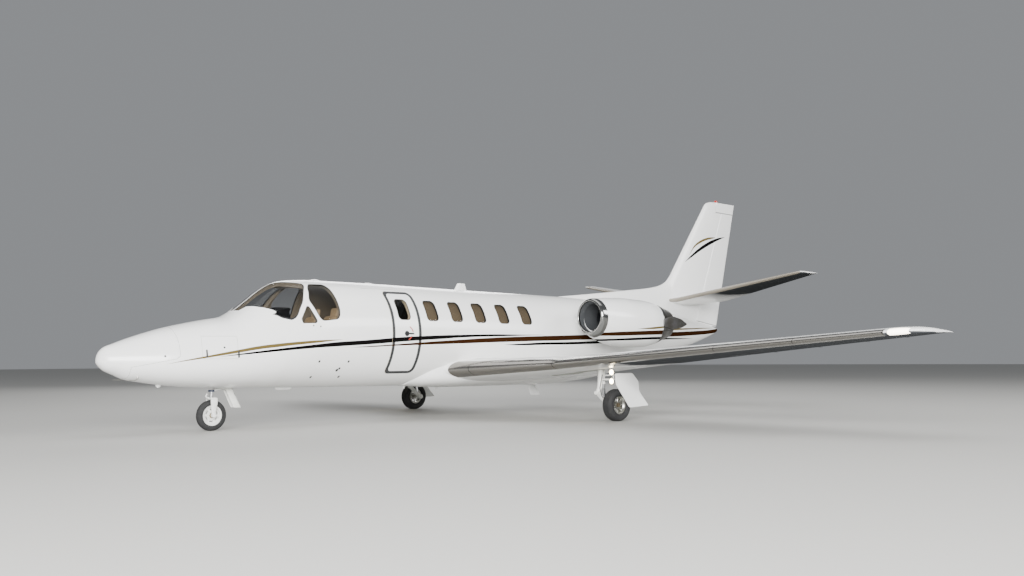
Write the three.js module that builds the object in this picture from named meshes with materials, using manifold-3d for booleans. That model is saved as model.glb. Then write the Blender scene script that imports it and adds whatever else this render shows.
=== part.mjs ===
// Business jet with straight wings and two engines beside its tail, parked on its three wheels.
// Millimetres. X points to port, Y aft and Z up. The origin is on the ground, under the middle of the jet.
// Everything is drawn by station, the distance aft of the nose tip, and the whole jet is moved at the end.
import * as THREE from 'three';
import { mergeVertices } from 'three/addons/utils/BufferGeometryUtils.js';
import Module from 'manifold-3d';

const wasm = await Module();
wasm.setup();

// Driving dimensions
const LENGTH = 14900;             // nose tip to the rudder's upper corner
const WALL = 70;                  // cabin wall with its frames and trim
const TAIL_WALL = 35;             // tail cone's skin and frames
const FIT = 0.3;                  // clearance between fixed pieces that touch
const RUNNING = 6;                // clearance round a piece that moves
const SOCKET = 13;                // clearance round a control surface's round nose, for its lower skin as it turns
const END_GAP = 24;               // clearance past the ends of a control surface, whose hinge isn't level
const HULL_SIDES = 28;
const WING_SIDES = 20;
const ROUND_SIDES = 24;
const WHEEL_SIDES = 28;

// Joints between the hull's sections, by station
const NOSE_END = 1950;
const COCKPIT_VOID = 2150;
const COCKPIT_END = 3950;
const CABIN_END = 8600;
const CABIN_VOID_END = 8450;
const TAIL_VOID_END = 13650;
const TAIL_END = 14085;
const FLOOR_TOP = 920;
const FLOOR_DEPTH = 50;
const FLOOR_START = 2450;

// Radome in side view: the whole tip as far as its lower joint, and above that back to its upper joint
const RADOME = [[-50, 500], [380, 500], [380, 975], [950, 1090], [1000, 1130], [1000, 2000], [-50, 2000]];

// Nose bay and its two doors, which hang from their upper edges
// Their ends are skewed to suit hinges that follow the nose's taper; start and end are at the middle distance out.
const BAY = { start: 1310, end: 1850, low: 1085, high: 1420, inner: 250, middle: 550, skew: 0.2375, skin: 30 };

// Cabin door in the port side, hung on its forward edge
const DOOR = { start: 4460, end: 5050, low: 820, high: 2190, corner: 90, hingeX: 876, hingeStation: 4453 };
const DOOR_SWEEP = { length: 595, share: 1.3, margin: 0.12 };

// Cabin windows: rounded openings, all alike; the first one of the port row is in the door
// Each window sits a little lower than the one ahead of it; low and high are at the datum's station
const WINDOW = { width: 225, low: 1700, high: 2040, corner: 70, datum: 5340, fall: 0.0135 };
const DOOR_WINDOW = 4735;
const WINDOW_STATIONS = [5328, 5858, 6385, 6932, 7485];
const STARBOARD_EXTRA = 4850;

// Hull sections: station, bottom, widest line, top, half width, roundness above and below the widest line
const HULL = [
  [0, 1030, 1065, 1100, 35, 2.0, 2.0],
  [40, 985, 1062, 1200, 105, 2.0, 2.0],
  [110, 925, 1058, 1263, 170, 2.0, 2.0],
  [240, 865, 1055, 1315, 250, 2.0, 2.0],
  [400, 795, 1052, 1376, 335, 2.0, 2.1],
  [660, 747, 1050, 1462, 440, 2.0, 2.2],
  [960, 701, 1055, 1547, 535, 2.0, 2.3],
  [1300, 668, 1065, 1622, 615, 2.0, 2.3],
  [1600, 651, 1080, 1678, 668, 2.0, 2.3],
  [1850, 643, 1100, 1721, 705, 2.0, 2.3],
  [2050, 638, 1125, 1819, 732, 2.0, 2.3],
  [2250, 634, 1160, 1967, 757, 2.0, 2.2],
  [2490, 630, 1215, 2151, 785, 2.0, 2.2],
  [2670, 627, 1265, 2254, 803, 2.0, 2.1],
  [2880, 624, 1330, 2316, 822, 2.0, 2.1],
  [3350, 618, 1440, 2348, 848, 2.0, 2.0],
  [3950, 613, 1475, 2346, 855, 2.0, 2.0],
  [8600, 580, 1425, 2272, 850, 2.0, 2.0],
  [9300, 600, 1425, 2260, 825, 2.0, 2.0],
  [10200, 705, 1440, 2228, 745, 2.0, 2.0],
  [11200, 925, 1490, 2160, 615, 2.0, 2.0],
  [12200, 1140, 1550, 2050, 460, 2.0, 2.0],
  [13100, 1324, 1600, 1890, 295, 2.0, 2.0],
  [13650, 1472, 1640, 1800, 180, 2.0, 2.0],
  [14000, 1585, 1660, 1735, 100, 2.0, 2.0],
  [14085, 1616, 1665, 1713, 64, 2.0, 2.0],
];

// Belly fairing sections: station, half width, bottom
const FAIRING = [
  [5150, 420, 605],
  [5500, 640, 575],
  [6100, 790, 555],
  [8300, 810, 555],
  [8850, 640, 572],
  [9300, 360, 602],
];
const FAIRING_MIDDLE = 840;
const FAIRING_RISE = 260;
const FAIRING_ROUNDNESS = 2.6;

// Wing sections: distance out, leading edge, trailing edge, height of the leading edge, thickness, twist in degrees
const WING = [
  [600, 5585, 8780, 862, 0.13, 3.2],
  [2300, 6660, 8600, 962, 0.13, 3.2],
  [7880, 7310, 8400, 1386, 0.115, 1.3],
  [8100, 7430, 8450, 1403, 0.105, 1.0],
  [8200, 7660, 8500, 1408, 0.09, 0.8],
  [8240, 8000, 8530, 1404, 0.06, 0.5],
];
const WING_CAMBER = 0.018;
const LEADING_EDGE = { inner: 750, outer: 7880, share: 0.075 };
const FLAP = { inner: 1000, outer: 4950, hinge: [[1000, 8035], [4950, 7980]], drop: 0 };
const AILERON = { inner: 5010, outer: 7700, hinge: [[5010, 8075], [7700, 8070]] };

// Tailplane sections: distance out, leading edge, trailing edge, height, thickness
const TAILPLANE = [
  [250, 12350, 14030, 2300, 0.10],
  [2950, 12872, 13588, 2758, 0.10],
  [3010, 12930, 13588, 2768, 0.08],
  [3035, 13100, 13580, 2773, 0.05],
];
const ELEVATOR = { inner: 215, outer: 2995, slantEnd: 430, hinge: [[250, 13490], [2970, 13347]] };

// Fin sections: height, leading edge, trailing edge, thickness
const FIN = [
  [1750, 11700, 14130, 0.10],
  [2960, 12590, 14450, 0.10],
  [4450, 13700, 14848, 0.095],
  [4590, 13830, 14886, 0.08],
  [4632, 13980, 14900, 0.05],
];
// Ridge ahead of the fin: station, top, half width
const RIDGE = [
  [9050, 2272, 25],
  [10040, 2365, 55],
  [11010, 2465, 80],
  [12040, 2591, 100],
  [12330, 2695, 105],
  [12480, 2820, 105],
  [12640, 3010, 95],
];
const RUDDER = { hinge: [[13330, 1860], [14480, 4632]], low: [[13300, 1872], [14200, 1762]], hornHeight: 4400, hornStart: 14130 };
const BEACON = { station: 14200, foot: 4600, top: 4690, radius: 45 };

// Engine: centre line from the intake to the nozzle, and nacelle sections by station, middle height and radius
const ENGINE_X = 1420;
const ENGINE_AXIS = { start: [8470, 1822], end: [10580, 1715] };
const NACELLE = [
  [8470, 1822, 300],
  [8490, 1821, 330],
  [8530, 1812, 348],
  [8600, 1797, 364],
  [8750, 1770, 400],
  [9000, 1741, 441],
  [9330, 1722, 466],
  [9800, 1708, 458],
  [10200, 1710, 395],
  [10440, 1717, 322],
  [10580, 1715, 287],
];
const DUCT = [
  [8440, 1823, 296],
  [8470, 1822, 287],
  [8600, 1815, 263],
  [8900, 1800, 268],
  [9060, 1791, 300],
  [9300, 1775, 340],
  [9800, 1750, 340],
  [10050, 1738, 310],
  [10440, 1722, 280],
  [10620, 1713, 255],
];
const LIP_END = 8600;
const FAN = { station: 8960, radius: 258, hub: 88, blades: 16, chord: 95, thickness: 9, depth: 60 };
const CORE = { start: 9100, end: 9960 };
const PYLON = { inner: 450, outer: 1090, lead: 8780, trail: 10620, height: 1775, thickness: 0.09 };
// Reverser doors: station of the slanted front edge at the middle height, its slope, the skin, and the lower edge,
// which follows the side fairing, by station and height above the middle
const REVERSER = { front: 10105, middle: 1715, slope: 0.25, gap: 14, skin: 25, end: 10580, pipeEnd: 10460 };
const REVERSER_EDGE = [[10308, 141], [10370, 141], [10580, 96], [10660, 79]];
// Side fairings of the reverser, in side view about the middle height, and their reach from the engine's middle
const SIDE_FAIRING = [[10080, 60], [10210, 115], [10370, 135], [10600, 85], [10790, -13], [10640, -78], [10450, -110],
  [10370, -110], [10080, -65]];
const FAIRING_REACH = { root: 250, plate: 385, outer: 440 };

// Wheels: radius, width, rim radius, and where they stand
const MAIN_WHEEL = { radius: 270, width: 210, rim: 152, out: 2875, station: 7610 };
const NOSE_WHEEL = { radius: 232, width: 112, rim: 154, station: 1733 };
const LEG_OUT = 2665;

/** The two landing lamps, one above the other in front of each main wheel. */
const LAMP = { out: 2945, radius: 48, heights: [673, 822] };

/** Side view of the plates of the door behind the nose wheel. */
const NOSE_DOOR = [[1930, 640], [2036, 640], [2196, 336], [2075, 338]];
const AXLE = 30;
const BEARING = 0.5;

// Finishes
const paint = (color, roughness = 0.35, metalness = 0) => new THREE.MeshStandardMaterial({ color, roughness, metalness });
const WHITE = paint(0xf2f2f0, 0.25);
const POLISHED = paint(0xc9c9c6, 0.15, 1);
const DARK_METAL = paint(0x4c4f53, 0.4, 0.9);
const STEEL = paint(0x9b9a94, 0.35, 0.9);
const GEAR_WHITE = paint(0xe9e9e6, 0.4);
const RUBBER = paint(0x1c1c1d, 0.85);
const GLASS = paint(0x2c3336, 0.05);
const PANEL_BLACK = paint(0x232324, 0.8);
const LEATHER = paint(0xb39a78, 0.7);
const CARPET = paint(0x8a7a66, 0.95);

// Solids

/** A closed three.js geometry as a solid, turned the right way out. */
function solid(geometry) {
  const bare = new THREE.BufferGeometry();
  bare.setAttribute('position', geometry.attributes.position.clone());
  if (geometry.index) bare.setIndex(geometry.index.clone());
  const merged = mergeVertices(bare, 1e-3);
  const points = merged.attributes.position;
  const [a, b, c] = [new THREE.Vector3(), new THREE.Vector3(), new THREE.Vector3()];
  const corners = [];
  let volume = 0;
  for (let i = 0; i < merged.index.count; i += 3) {
    const [p, q, r] = [0, 1, 2].map((k) => merged.index.getX(i + k));
    if (p === q || q === r || r === p) continue;
    corners.push(p, q, r);
    a.fromBufferAttribute(points, p);
    b.fromBufferAttribute(points, q);
    c.fromBufferAttribute(points, r);
    volume += a.dot(b.cross(c));
  }
  if (volume < 0) corners.reverse();
  return new wasm.Manifold(new wasm.Mesh({
    numProp: 3, vertProperties: points.array, triVerts: new Uint32Array(corners),
  }));
}

/** A named mesh of a solid, with flat faces. */
function piece(name, body, material) {
  const { vertProperties, triVerts } = body.getMesh();
  const geometry = new THREE.BufferGeometry();
  geometry.setAttribute('position', new THREE.BufferAttribute(vertProperties, 3));
  geometry.setIndex(new THREE.BufferAttribute(triVerts, 1));
  const flat = geometry.toNonIndexed();
  flat.computeVertexNormals();
  const mesh = new THREE.Mesh(flat, material);
  mesh.name = name;
  return mesh;
}

/** A solid through rows of closed sections; at(row, angle) is a rim point and middle(row) a section's centre. */
function loft(rows, sides, at, middle) {
  const geometry = new THREE.CylinderGeometry(1, 1, 1, sides, rows - 1);
  const place = geometry.attributes.position;
  for (let i = 0; i < place.count; i += 1) {
    const row = Math.round((0.5 - place.getY(i)) * (rows - 1));
    const onRim = Math.hypot(place.getX(i), place.getZ(i)) > 0.5;
    const side = Math.round((Math.atan2(place.getX(i), place.getZ(i)) / (2 * Math.PI)) * sides + sides) % sides;
    const point = onRim ? at(row, (side / sides) * 2 * Math.PI) : middle(row);
    place.setXYZ(i, point.x, point.y, point.z);
  }
  return solid(geometry);
}

/** A round bar or cone between two points. */
function bar(from, to, radius, endRadius = radius, sides = 8) {
  const [start, end] = [new THREE.Vector3(...from), new THREE.Vector3(...to)];
  const along = end.clone().sub(start);
  const geometry = new THREE.CylinderGeometry(endRadius, radius, along.length(), sides);
  geometry.applyQuaternion(new THREE.Quaternion().setFromUnitVectors(new THREE.Vector3(0, 1, 0), along.normalize()));
  const middle = start.add(end).multiplyScalar(0.5);
  return solid(geometry.translate(middle.x, middle.y, middle.z));
}

/** A box between its lowest and highest corners. */
function box(low, high) {
  const size = high.map((value, k) => value - low[k]);
  const geometry = new THREE.BoxGeometry(...size);
  return solid(geometry.translate(...low.map((value, k) => value + size[k] / 2)));
}

/** An outline of [out, station] points carried from one height to another. */
function planPrism(points, low, high) {
  const shape = new THREE.Shape(points.map(([x, y]) => new THREE.Vector2(x, y)));
  return solid(new THREE.ExtrudeGeometry(shape, { depth: high - low, bevelEnabled: false }).translate(0, 0, low));
}

/** A side-view shape of [station, height] carried from one distance out to another. */
function sideShapePrism(shape, low, high, curveSegments = 4) {
  const geometry = new THREE.ExtrudeGeometry(shape, { depth: high - low, bevelEnabled: false, curveSegments });
  geometry.translate(0, 0, low);
  const turn = new THREE.Matrix4().makeBasis(
    new THREE.Vector3(0, 1, 0), new THREE.Vector3(0, 0, 1), new THREE.Vector3(1, 0, 0),
  );
  return solid(geometry.applyMatrix4(turn));
}

const sidePrism = (points, low, high) => sideShapePrism(
  new THREE.Shape(points.map(([s, z]) => new THREE.Vector2(s, z))), low, high,
);

/** A rectangle with round corners, in side view. */
function roundedRectangle(start, end, low, high, corner) {
  const shape = new THREE.Shape();
  shape.absarc(end - corner, low + corner, corner, -Math.PI / 2, 0);
  shape.absarc(end - corner, high - corner, corner, 0, Math.PI / 2);
  shape.absarc(start + corner, high - corner, corner, Math.PI / 2, Math.PI);
  shape.absarc(start + corner, low + corner, corner, Math.PI, Math.PI * 1.5);
  return shape;
}

/** The value of every column of a table at a place along its first column. */
function along(table, place) {
  const last = table.length - 1;
  const next = Math.min(last, Math.max(1, table.findIndex((row) => row[0] >= place)));
  const row = table[last][0] < place ? last : next;
  const share = (place - table[row - 1][0]) / (table[row][0] - table[row - 1][0]);
  return table[row].map((value, k) => table[row - 1][k] + (value - table[row - 1][k]) * share);
}

/** A table's places from one end to another, with both ends. */
function placesBetween(table, from, to) {
  return [from, ...table.map((row) => row[0]).filter((place) => place > from + 1 && place < to - 1), to];
}

const power = (value, roundness) => Math.sign(value) * Math.abs(value) ** (2 / roundness);

// Hull

/** A stretch of the hull as a solid, its surface moved out by grow. */
function hull(from, to, grow = 0) {
  const rows = placesBetween(HULL, from, to).map((station) => along(HULL, station));
  return loft(rows.length, HULL_SIDES, (row, angle) => {
    const [station, bottom, widest, top, half, above, below] = rows[row];
    const upper = Math.cos(angle) >= 0;
    const roundness = upper ? above : below;
    const reach = (upper ? top - widest : widest - bottom) + grow;
    return new THREE.Vector3(
      (half + grow) * power(Math.sin(angle), roundness), station, widest + reach * power(Math.cos(angle), roundness),
    );
  }, (row) => new THREE.Vector3(0, rows[row][0], rows[row][2]));
}

/** Half the hull's width at a station and height. */
function hullOut(station, height) {
  const [, bottom, widest, top, half, above, below] = along(HULL, station);
  const upper = height > widest;
  const share = Math.abs(height - widest) / (upper ? top - widest : widest - bottom);
  const roundness = upper ? above : below;
  return half * Math.max(0, 1 - share ** roundness) ** (1 / roundness);
}

function bellyFairing(grow = 0) {
  return loft(FAIRING.length, HULL_SIDES, (row, angle) => {
    const [station, half, bottom] = FAIRING[row];
    const reach = (Math.cos(angle) > 0 ? FAIRING_RISE : FAIRING_MIDDLE - bottom) + grow;
    return new THREE.Vector3(
      (half + grow) * power(Math.sin(angle), FAIRING_ROUNDNESS), station + Math.sign(row - 2) * grow,
      FAIRING_MIDDLE + reach * power(Math.cos(angle), FAIRING_ROUNDNESS),
    );
  }, (row) => new THREE.Vector3(0, FAIRING[row][0] + Math.sign(row - 2) * grow, FAIRING_MIDDLE));
}

// Flight surfaces

/** Half the thickness of a surface at a share of its chord, for a thickness of one. */
const halfThickness = (share) => 5 * (0.2969 * Math.sqrt(share) - 0.126 * share - 0.3516 * share ** 2
  + 0.2843 * share ** 3 - 0.1016 * share ** 4);

/** One side's wing as a solid. */
function wing(side) {
  return loft(WING.length, WING_SIDES, (row, angle) => {
    const [out, lead, trail, height, thickness, twist] = WING[row];
    const share = (1 + Math.cos(angle)) / 2;
    const chord = trail - lead;
    const fall = Math.sin(THREE.MathUtils.degToRad(twist)) * share;
    const rise = 4 * WING_CAMBER * share * (1 - share) + Math.sign(Math.sin(angle)) * halfThickness(share) * thickness;
    const still = Math.abs(Math.sin(angle)) < 1e-6 ? 4 * WING_CAMBER * share * (1 - share) : rise;
    return new THREE.Vector3(side * out, lead + share * chord, height + (still - fall) * chord);
  }, (row) => {
    const [out, lead, trail, height, , twist] = WING[row];
    const fall = Math.sin(THREE.MathUtils.degToRad(twist)) * 0.4;
    return new THREE.Vector3(side * out, lead + 0.4 * (trail - lead), height + (WING_CAMBER - fall) * (trail - lead));
  });
}

/** Height of the wing's middle surface at a distance out and a station. */
function wingMiddle(out, station) {
  const [, lead, trail, height, , twist] = along(WING, out);
  const share = (station - lead) / (trail - lead);
  return height + (4 * WING_CAMBER * share * (1 - share) - Math.sin(THREE.MathUtils.degToRad(twist)) * share)
    * (trail - lead);
}

/** Half the wing's thickness at a distance out and a station. */
function wingHalf(out, station) {
  const [, lead, trail, , thickness] = along(WING, out);
  return halfThickness((station - lead) / (trail - lead)) * thickness * (trail - lead);
}

/** The whole tailplane, both sides in one, its surface moved out by grow. */
function tailplane(grow = 0) {
  const rows = [...TAILPLANE].reverse().map(([out, ...rest]) => [-out, ...rest]).concat(TAILPLANE);
  return loft(rows.length, WING_SIDES, (row, angle) => {
    const [out, lead, trail, height, thickness] = rows[row];
    const share = (1 + Math.cos(angle)) / 2;
    const flat = Math.abs(Math.sin(angle)) < 1e-6;
    const half = flat ? 0 : Math.sign(Math.sin(angle)) * (halfThickness(share) * thickness * (trail - lead) + grow);
    return new THREE.Vector3(out, lead + share * (trail - lead) + Math.cos(angle) * grow, height + half);
  }, (row) => new THREE.Vector3(rows[row][0], rows[row][1] + 0.4 * (rows[row][2] - rows[row][1]), rows[row][3]));
}

/** The fin and rudder together, as one solid. */
function finBlade() {
  return loft(FIN.length, WING_SIDES, (row, angle) => {
    const [height, lead, trail, thickness] = FIN[row];
    const share = (1 + Math.cos(angle)) / 2;
    const flat = Math.abs(Math.sin(angle)) < 1e-6;
    const half = flat ? 0 : Math.sign(Math.sin(angle)) * halfThickness(share) * thickness * (trail - lead);
    return new THREE.Vector3(half, lead + share * (trail - lead), height);
  }, (row) => new THREE.Vector3(0, FIN[row][1] + 0.4 * (FIN[row][2] - FIN[row][1]), FIN[row][0]));
}

/** The long ridge that leads from the cabin roof up to the fin. */
function finRidge() {
  return loft(RIDGE.length, 12, (row, angle) => {
    const [station, top, half] = RIDGE[row];
    const roof = along(HULL, station)[3] - 45;
    const reach = Math.cos(angle) > 0 ? top - roof : 20;
    return new THREE.Vector3(half * Math.sin(angle), station, roof + reach * Math.cos(angle));
  }, (row) => new THREE.Vector3(0, RIDGE[row][0], along(HULL, RIDGE[row][0])[3] - 45));
}

/** Halves of a panel on each side of a hinge: the moving surface, with a round nose, and what it leaves. */
function splitAtHinge(panel, moving, cut, hinge, radii) {
  const nose = bar(hinge[0], hinge[1], radii[0], radii[1], 16);
  const socket = bar(hinge[2], hinge[3], radii[0] + SOCKET, radii[1] + SOCKET, 16);
  return {
    surface: panel.intersect(moving.add(nose)),
    rest: panel.subtract(cut.add(socket)),
  };
}

/** A wing's flap or aileron, and the wing without it. */
function cutFromWing(panel, side, { inner, outer, hinge }) {
  const line = (out) => along(hinge, out)[1];
  const point = (out) => [side * out, line(out), wingMiddle(out, line(out))];
  const outline = (from, to) => [
    [side * from, line(from)], [side * to, line(to)], [side * to, 9200], [side * from, 9200],
  ];
  const [from, to] = [inner + END_GAP, outer - END_GAP];
  const radii = [wingHalf(inner, line(inner)) + 3, wingHalf(outer, line(outer)) + 3];
  return splitAtHinge(
    panel, planPrism(outline(from, to), 300, 2200), planPrism(outline(inner, outer), 300, 2200),
    [point(from), point(to), point(inner), point(outer)], radii,
  );
}

// Engines

const engineHeight = (station) => along([ENGINE_AXIS.start, ENGINE_AXIS.end], station)[1];

/** A stretch of a nacelle table as a solid, its surface moved out by grow. */
function round(table, from, to, x, grow = 0) {
  const rows = placesBetween(table, from, to).map((station) => along(table, station));
  return loft(rows.length, ROUND_SIDES, (row, angle) => {
    const [station, height, radius] = rows[row];
    return new THREE.Vector3(
      x + (radius + grow) * Math.sin(angle), station, height + (radius + grow) * Math.cos(angle),
    );
  }, (row) => new THREE.Vector3(x, rows[row][0], rows[row][1]));
}

/** The short wing that carries an engine. */
function pylon(side) {
  const ends = [PYLON.inner, PYLON.outer];
  const chord = PYLON.trail - PYLON.lead;
  return loft(2, WING_SIDES, (row, angle) => {
    const share = (1 + Math.cos(angle)) / 2;
    const flat = Math.abs(Math.sin(angle)) < 1e-6;
    const half = flat ? 0 : Math.sign(Math.sin(angle)) * halfThickness(share) * PYLON.thickness * chord;
    return new THREE.Vector3(side * ends[row], PYLON.lead + share * chord, PYLON.height + half);
  }, (row) => new THREE.Vector3(side * ends[row], PYLON.lead + 0.4 * chord, PYLON.height));
}

/** Side view of a reverser door's room, grown by a gap; way is 1 for the upper door and -1 for the lower. */
function reverserRoom(way, gap, drop) {
  const { front, middle, slope } = REVERSER;
  const edge = REVERSER_EDGE.map(([station, rise]) => [station, rise - drop]);
  const corner = [front - gap + slope * edge[0][1], edge[0][1]];
  const top = [front - gap + slope * 480, 480];
  const outline = [corner, top, [edge[3][0], 480], edge[3], edge[2], edge[1]];
  return outline.map(([station, rise]) => [station, middle + way * rise]);
}

/** The fan: blades round a pointed hub. */
function fan() {
  const { radius, hub, blades, chord, thickness, depth } = FAN;
  const profile = [[0, -170], [30, -150], [62, -100], [hub, -30], [hub, depth], [0, depth]];
  const spinner = new THREE.LatheGeometry(profile.map(([r, y]) => new THREE.Vector2(r, y)), FAN.blades);
  let body = solid(spinner);
  for (let k = 0; k < blades; k += 1) {
    const blade = new THREE.BoxGeometry(radius - hub + 20, chord, thickness);
    blade.rotateX(THREE.MathUtils.degToRad(52)).translate((radius + hub) / 2 - 10, 15, 0);
    blade.rotateY((k / blades) * 2 * Math.PI);
    body = body.add(solid(blade));
  }
  return body;
}

function nacelleSide(group, name, side) {
  const x = side * ENGINE_X;
  const duct = round(DUCT, 8440, 10620, x);
  const outer = round(NACELLE, 8470, LIP_END, x);
  group.add(piece(`intake_lip_${name}`, outer.subtract(duct), POLISHED));

  const { middle, skin, end, pipeEnd, gap } = REVERSER;
  const reach = [x - 420, x + 420];
  const pipe = round(NACELLE, 10020, pipeEnd, x, -skin - RUNNING);
  const fairings = [1, -1].map((way) => {
    const outline = SIDE_FAIRING.map(([station, rise]) => [station, middle + rise]);
    const spans = [FAIRING_REACH.root, FAIRING_REACH.plate].map((inner) => (
      [x + way * inner, x + way * FAIRING_REACH.outer].sort((p, q) => p - q)
    ));
    const block = sidePrism(outline, ...spans[0]).intersect(box([spans[0][0], 10000, 1400], [spans[0][1], end, 2000]));
    return block.add(sidePrism(outline, ...spans[1]));
  });
  let cowl = round(NACELLE, LIP_END + FIT, end, x).add(pylon(side));
  const doors = round(NACELLE, 10040, end, x).subtract(round(NACELLE, 10000, end + 40, x, -skin));
  [['upper', 1], ['lower', -1]].forEach(([place, way]) => {
    cowl = cowl.subtract(sidePrism(reverserRoom(way, gap, RUNNING), ...reach).subtract(pipe));
    const door = doors.intersect(sidePrism(reverserRoom(way, 0, 0), ...reach));
    group.add(piece(`reverser_${place}_${name}`, door, DARK_METAL));
  });
  cowl = cowl.add(fairings[0]).add(fairings[1]).subtract(duct).subtract(hull(CABIN_END - 400, TAIL_END, FIT));
  group.add(piece(`nacelle_${name}`, cowl, WHITE));
}

function engineSide(group, name, side) {
  const x = side * ENGINE_X;
  const [, , ductRadius] = along(DUCT, CORE.start);
  const block = round(DUCT, CORE.start, CORE.end, x, -FIT * 2);
  const cone = bar([x, CORE.end - 5, engineHeight(CORE.end)], [x, 10380, engineHeight(10380)], ductRadius * 0.55, 40, 20);
  group.add(piece(`engine_${name}`, block.add(cone), DARK_METAL));

  const rotor = piece(`fan_${name}`, fan(), STEEL);
  const [start, end] = [ENGINE_AXIS.start, ENGINE_AXIS.end];
  rotor.rotation.x = Math.atan2(end[1] - start[1], end[0] - start[0]);
  rotor.position.set(x, FAN.station, engineHeight(FAN.station));
  group.add(rotor);
}

// Landing gear

/** A tyre round the X axis: a closed ring with rounded shoulders. */
function tyre({ radius, width, rim }) {
  const half = width / 2;
  const profile = [
    [rim, -half * 0.72], [rim + 22, -half * 0.86], [radius - 62, -half], [radius - 20, -half * 0.8],
    [radius, -half * 0.4], [radius, half * 0.4], [radius - 20, half * 0.8], [radius - 62, half],
    [rim + 22, half * 0.86], [rim, half * 0.72], [rim, -half * 0.72],
  ];
  const ring = new THREE.LatheGeometry(profile.map(([r, y]) => new THREE.Vector2(r, y)), WHEEL_SIDES);
  return solid(ring.rotateZ(-Math.PI / 2));
}

/** A wheel round the X axis, with its dished disc and a bore for the axle. */
function wheelDisc({ width, rim }) {
  const half = width * 0.36;
  const bore = AXLE + BEARING;
  const profile = [
    [bore, -34], [58, -34], [62, -15], [rim - 34, -12], [rim - 22, -half], [rim - FIT, -half],
    [rim - FIT, half], [rim - 22, half], [rim - 34, 12], [62, 15], [58, 34], [bore, 34], [bore, -34],
  ];
  const disc = new THREE.LatheGeometry(profile.map(([r, y]) => new THREE.Vector2(r, y)), WHEEL_SIDES);
  return solid(disc.rotateZ(-Math.PI / 2));
}

function mainGear(group, name, side) {
  const { radius, out, station } = MAIN_WHEEL;
  const legOut = side * LEG_OUT;
  const axle = [station, radius];
  const knee = [7375, 474];
  const at = ([s, z]) => [legOut, s, z];
  const bars = [
    bar(at([7465, wingPocketTop(LEG_OUT) - 18]), at([7425, 560]), 50, 44),
    bar(at([7425, 575]), at(knee), 44, 40),
    bar(at(knee), at(axle), 38, 42),
    bar(at([7545, 330]), at([7515, 640]), 26),
    bar(at([7515, 620]), at([7495, wingPocketTop(LEG_OUT) - 12]), 36),
    bar([legOut - side * 48, ...knee], [legOut + side * 48, ...knee], 34),
    bar([legOut - side * 45, ...axle], [side * (out + 52), ...axle], AXLE),
    bar([legOut - side * 50, ...axle], [legOut + side * 45, ...axle], 46),
    bar([legOut, 7440, 700], [side * LAMP.out, 7466, 700], 16),
    bar([side * LAMP.out, 7466, 660], [side * LAMP.out, 7466, 848], 12),
    ...LAMP.heights.map((z) => bar([side * LAMP.out, 7470, z], [side * LAMP.out, 7415, z], LAMP.radius)),
  ];
  group.add(piece(`main_leg_${name}`, bars.reduce((sum, next) => sum.add(next)), GEAR_WHITE));

  const turn = (body, label, material) => {
    const mesh = piece(label, body, material);
    mesh.position.set(side * out, station, radius);
    group.add(mesh);
  };
  turn(tyre(MAIN_WHEEL), `main_tyre_${name}`, RUBBER);
  turn(wheelDisc(MAIN_WHEEL), `main_wheel_${name}`, STEEL);

  const plateOutline = [
    [7440, 805], [7850, 805], [8007, 661], [8023, 496], [8260, 246], [7781, 228], [7455, 623],
  ];
  const faces = [side * 3000, side * 3018].sort((a, b) => a - b);
  const plate = sidePrism(plateOutline, ...faces);
  const braces = [[7560, 690], [7560, 770]].map(([s, z]) => bar([side * 2722, s - 60, z], [side * 3005, s + 20, z], 12));
  group.add(piece(`main_gear_door_${name}`, plate.add(braces[0]).add(braces[1]), WHITE));
}

function noseGear(group) {
  const { radius, width, station } = NOSE_WHEEL;
  const leg = [
    bar([0, station, 562], [0, station, 846], 40, 40, 16),
    bar([0, station, 590], [0, station, 635], 52, 52, 16),
    bar([-35, station + 30, 612], [-45, 2060, 672], 14),
    bar([35, station + 30, 612], [45, 2060, 672], 14),
    bar([-70, 2055, 668], [70, 2055, 668], 14),
    sidePrism(NOSE_DOOR, -52, -40),
    sidePrism(NOSE_DOOR, 40, 52),
    sidePrism([[2024, 640], [2038, 640], [2198, 336], [2184, 336]], -52, 52),
    bar([-60, 2020, 640], [60, 2020, 640], 12),
    bar([-45, 2020, 664], [-45, 2020, 640], 12),
    bar([45, 2020, 664], [45, 2020, 640], 12),
  ];
  group.add(piece('nose_leg', leg.reduce((sum, next) => sum.add(next)), GEAR_WHITE));

  const steered = new THREE.Group();
  steered.position.set(0, station, 0);
  const side = width / 2 + 24;
  const fork = [
    bar([0, 0, 478], [0, 0, 561.5], 26, 26, 16),
    box([-side - 14, -45, 471], [side + 14, 45, 503]),
    ...[-1, 1].map((way) => sideArm(way * side, radius)),
    bar([-side - 18, 0, radius], [side + 18, 0, radius], AXLE),
    bar([0, -40, 487], [0, -92, 520], 12),
    bar([0, -92, 520], [0, -70, 556], 12),
  ];
  steered.add(piece('nose_fork', fork.reduce((sum, next) => sum.add(next)), GEAR_WHITE));
  const wheelParts = [piece('nose_tyre', tyre(NOSE_WHEEL), RUBBER), piece('nose_wheel', wheelDisc(NOSE_WHEEL), GEAR_WHITE)];
  wheelParts.forEach((mesh) => {
    mesh.position.z = radius;
    steered.add(mesh);
  });
  group.add(steered);
}

/** One arm of the nose fork, widest at its shoulder. */
function sideArm(x, radius) {
  const outline = [
    [-45, 500], [60, 500], [62, 430], [42, 340], [30, 260], [30, radius - 26], [-30, radius - 26], [-30, 260],
    [-34, 340], [-44, 430],
  ];
  return sidePrism(outline, x - 8, x + 8);
}

const wingPocketTop = (out) => wingMiddle(out, 7500) - 8;

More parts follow.
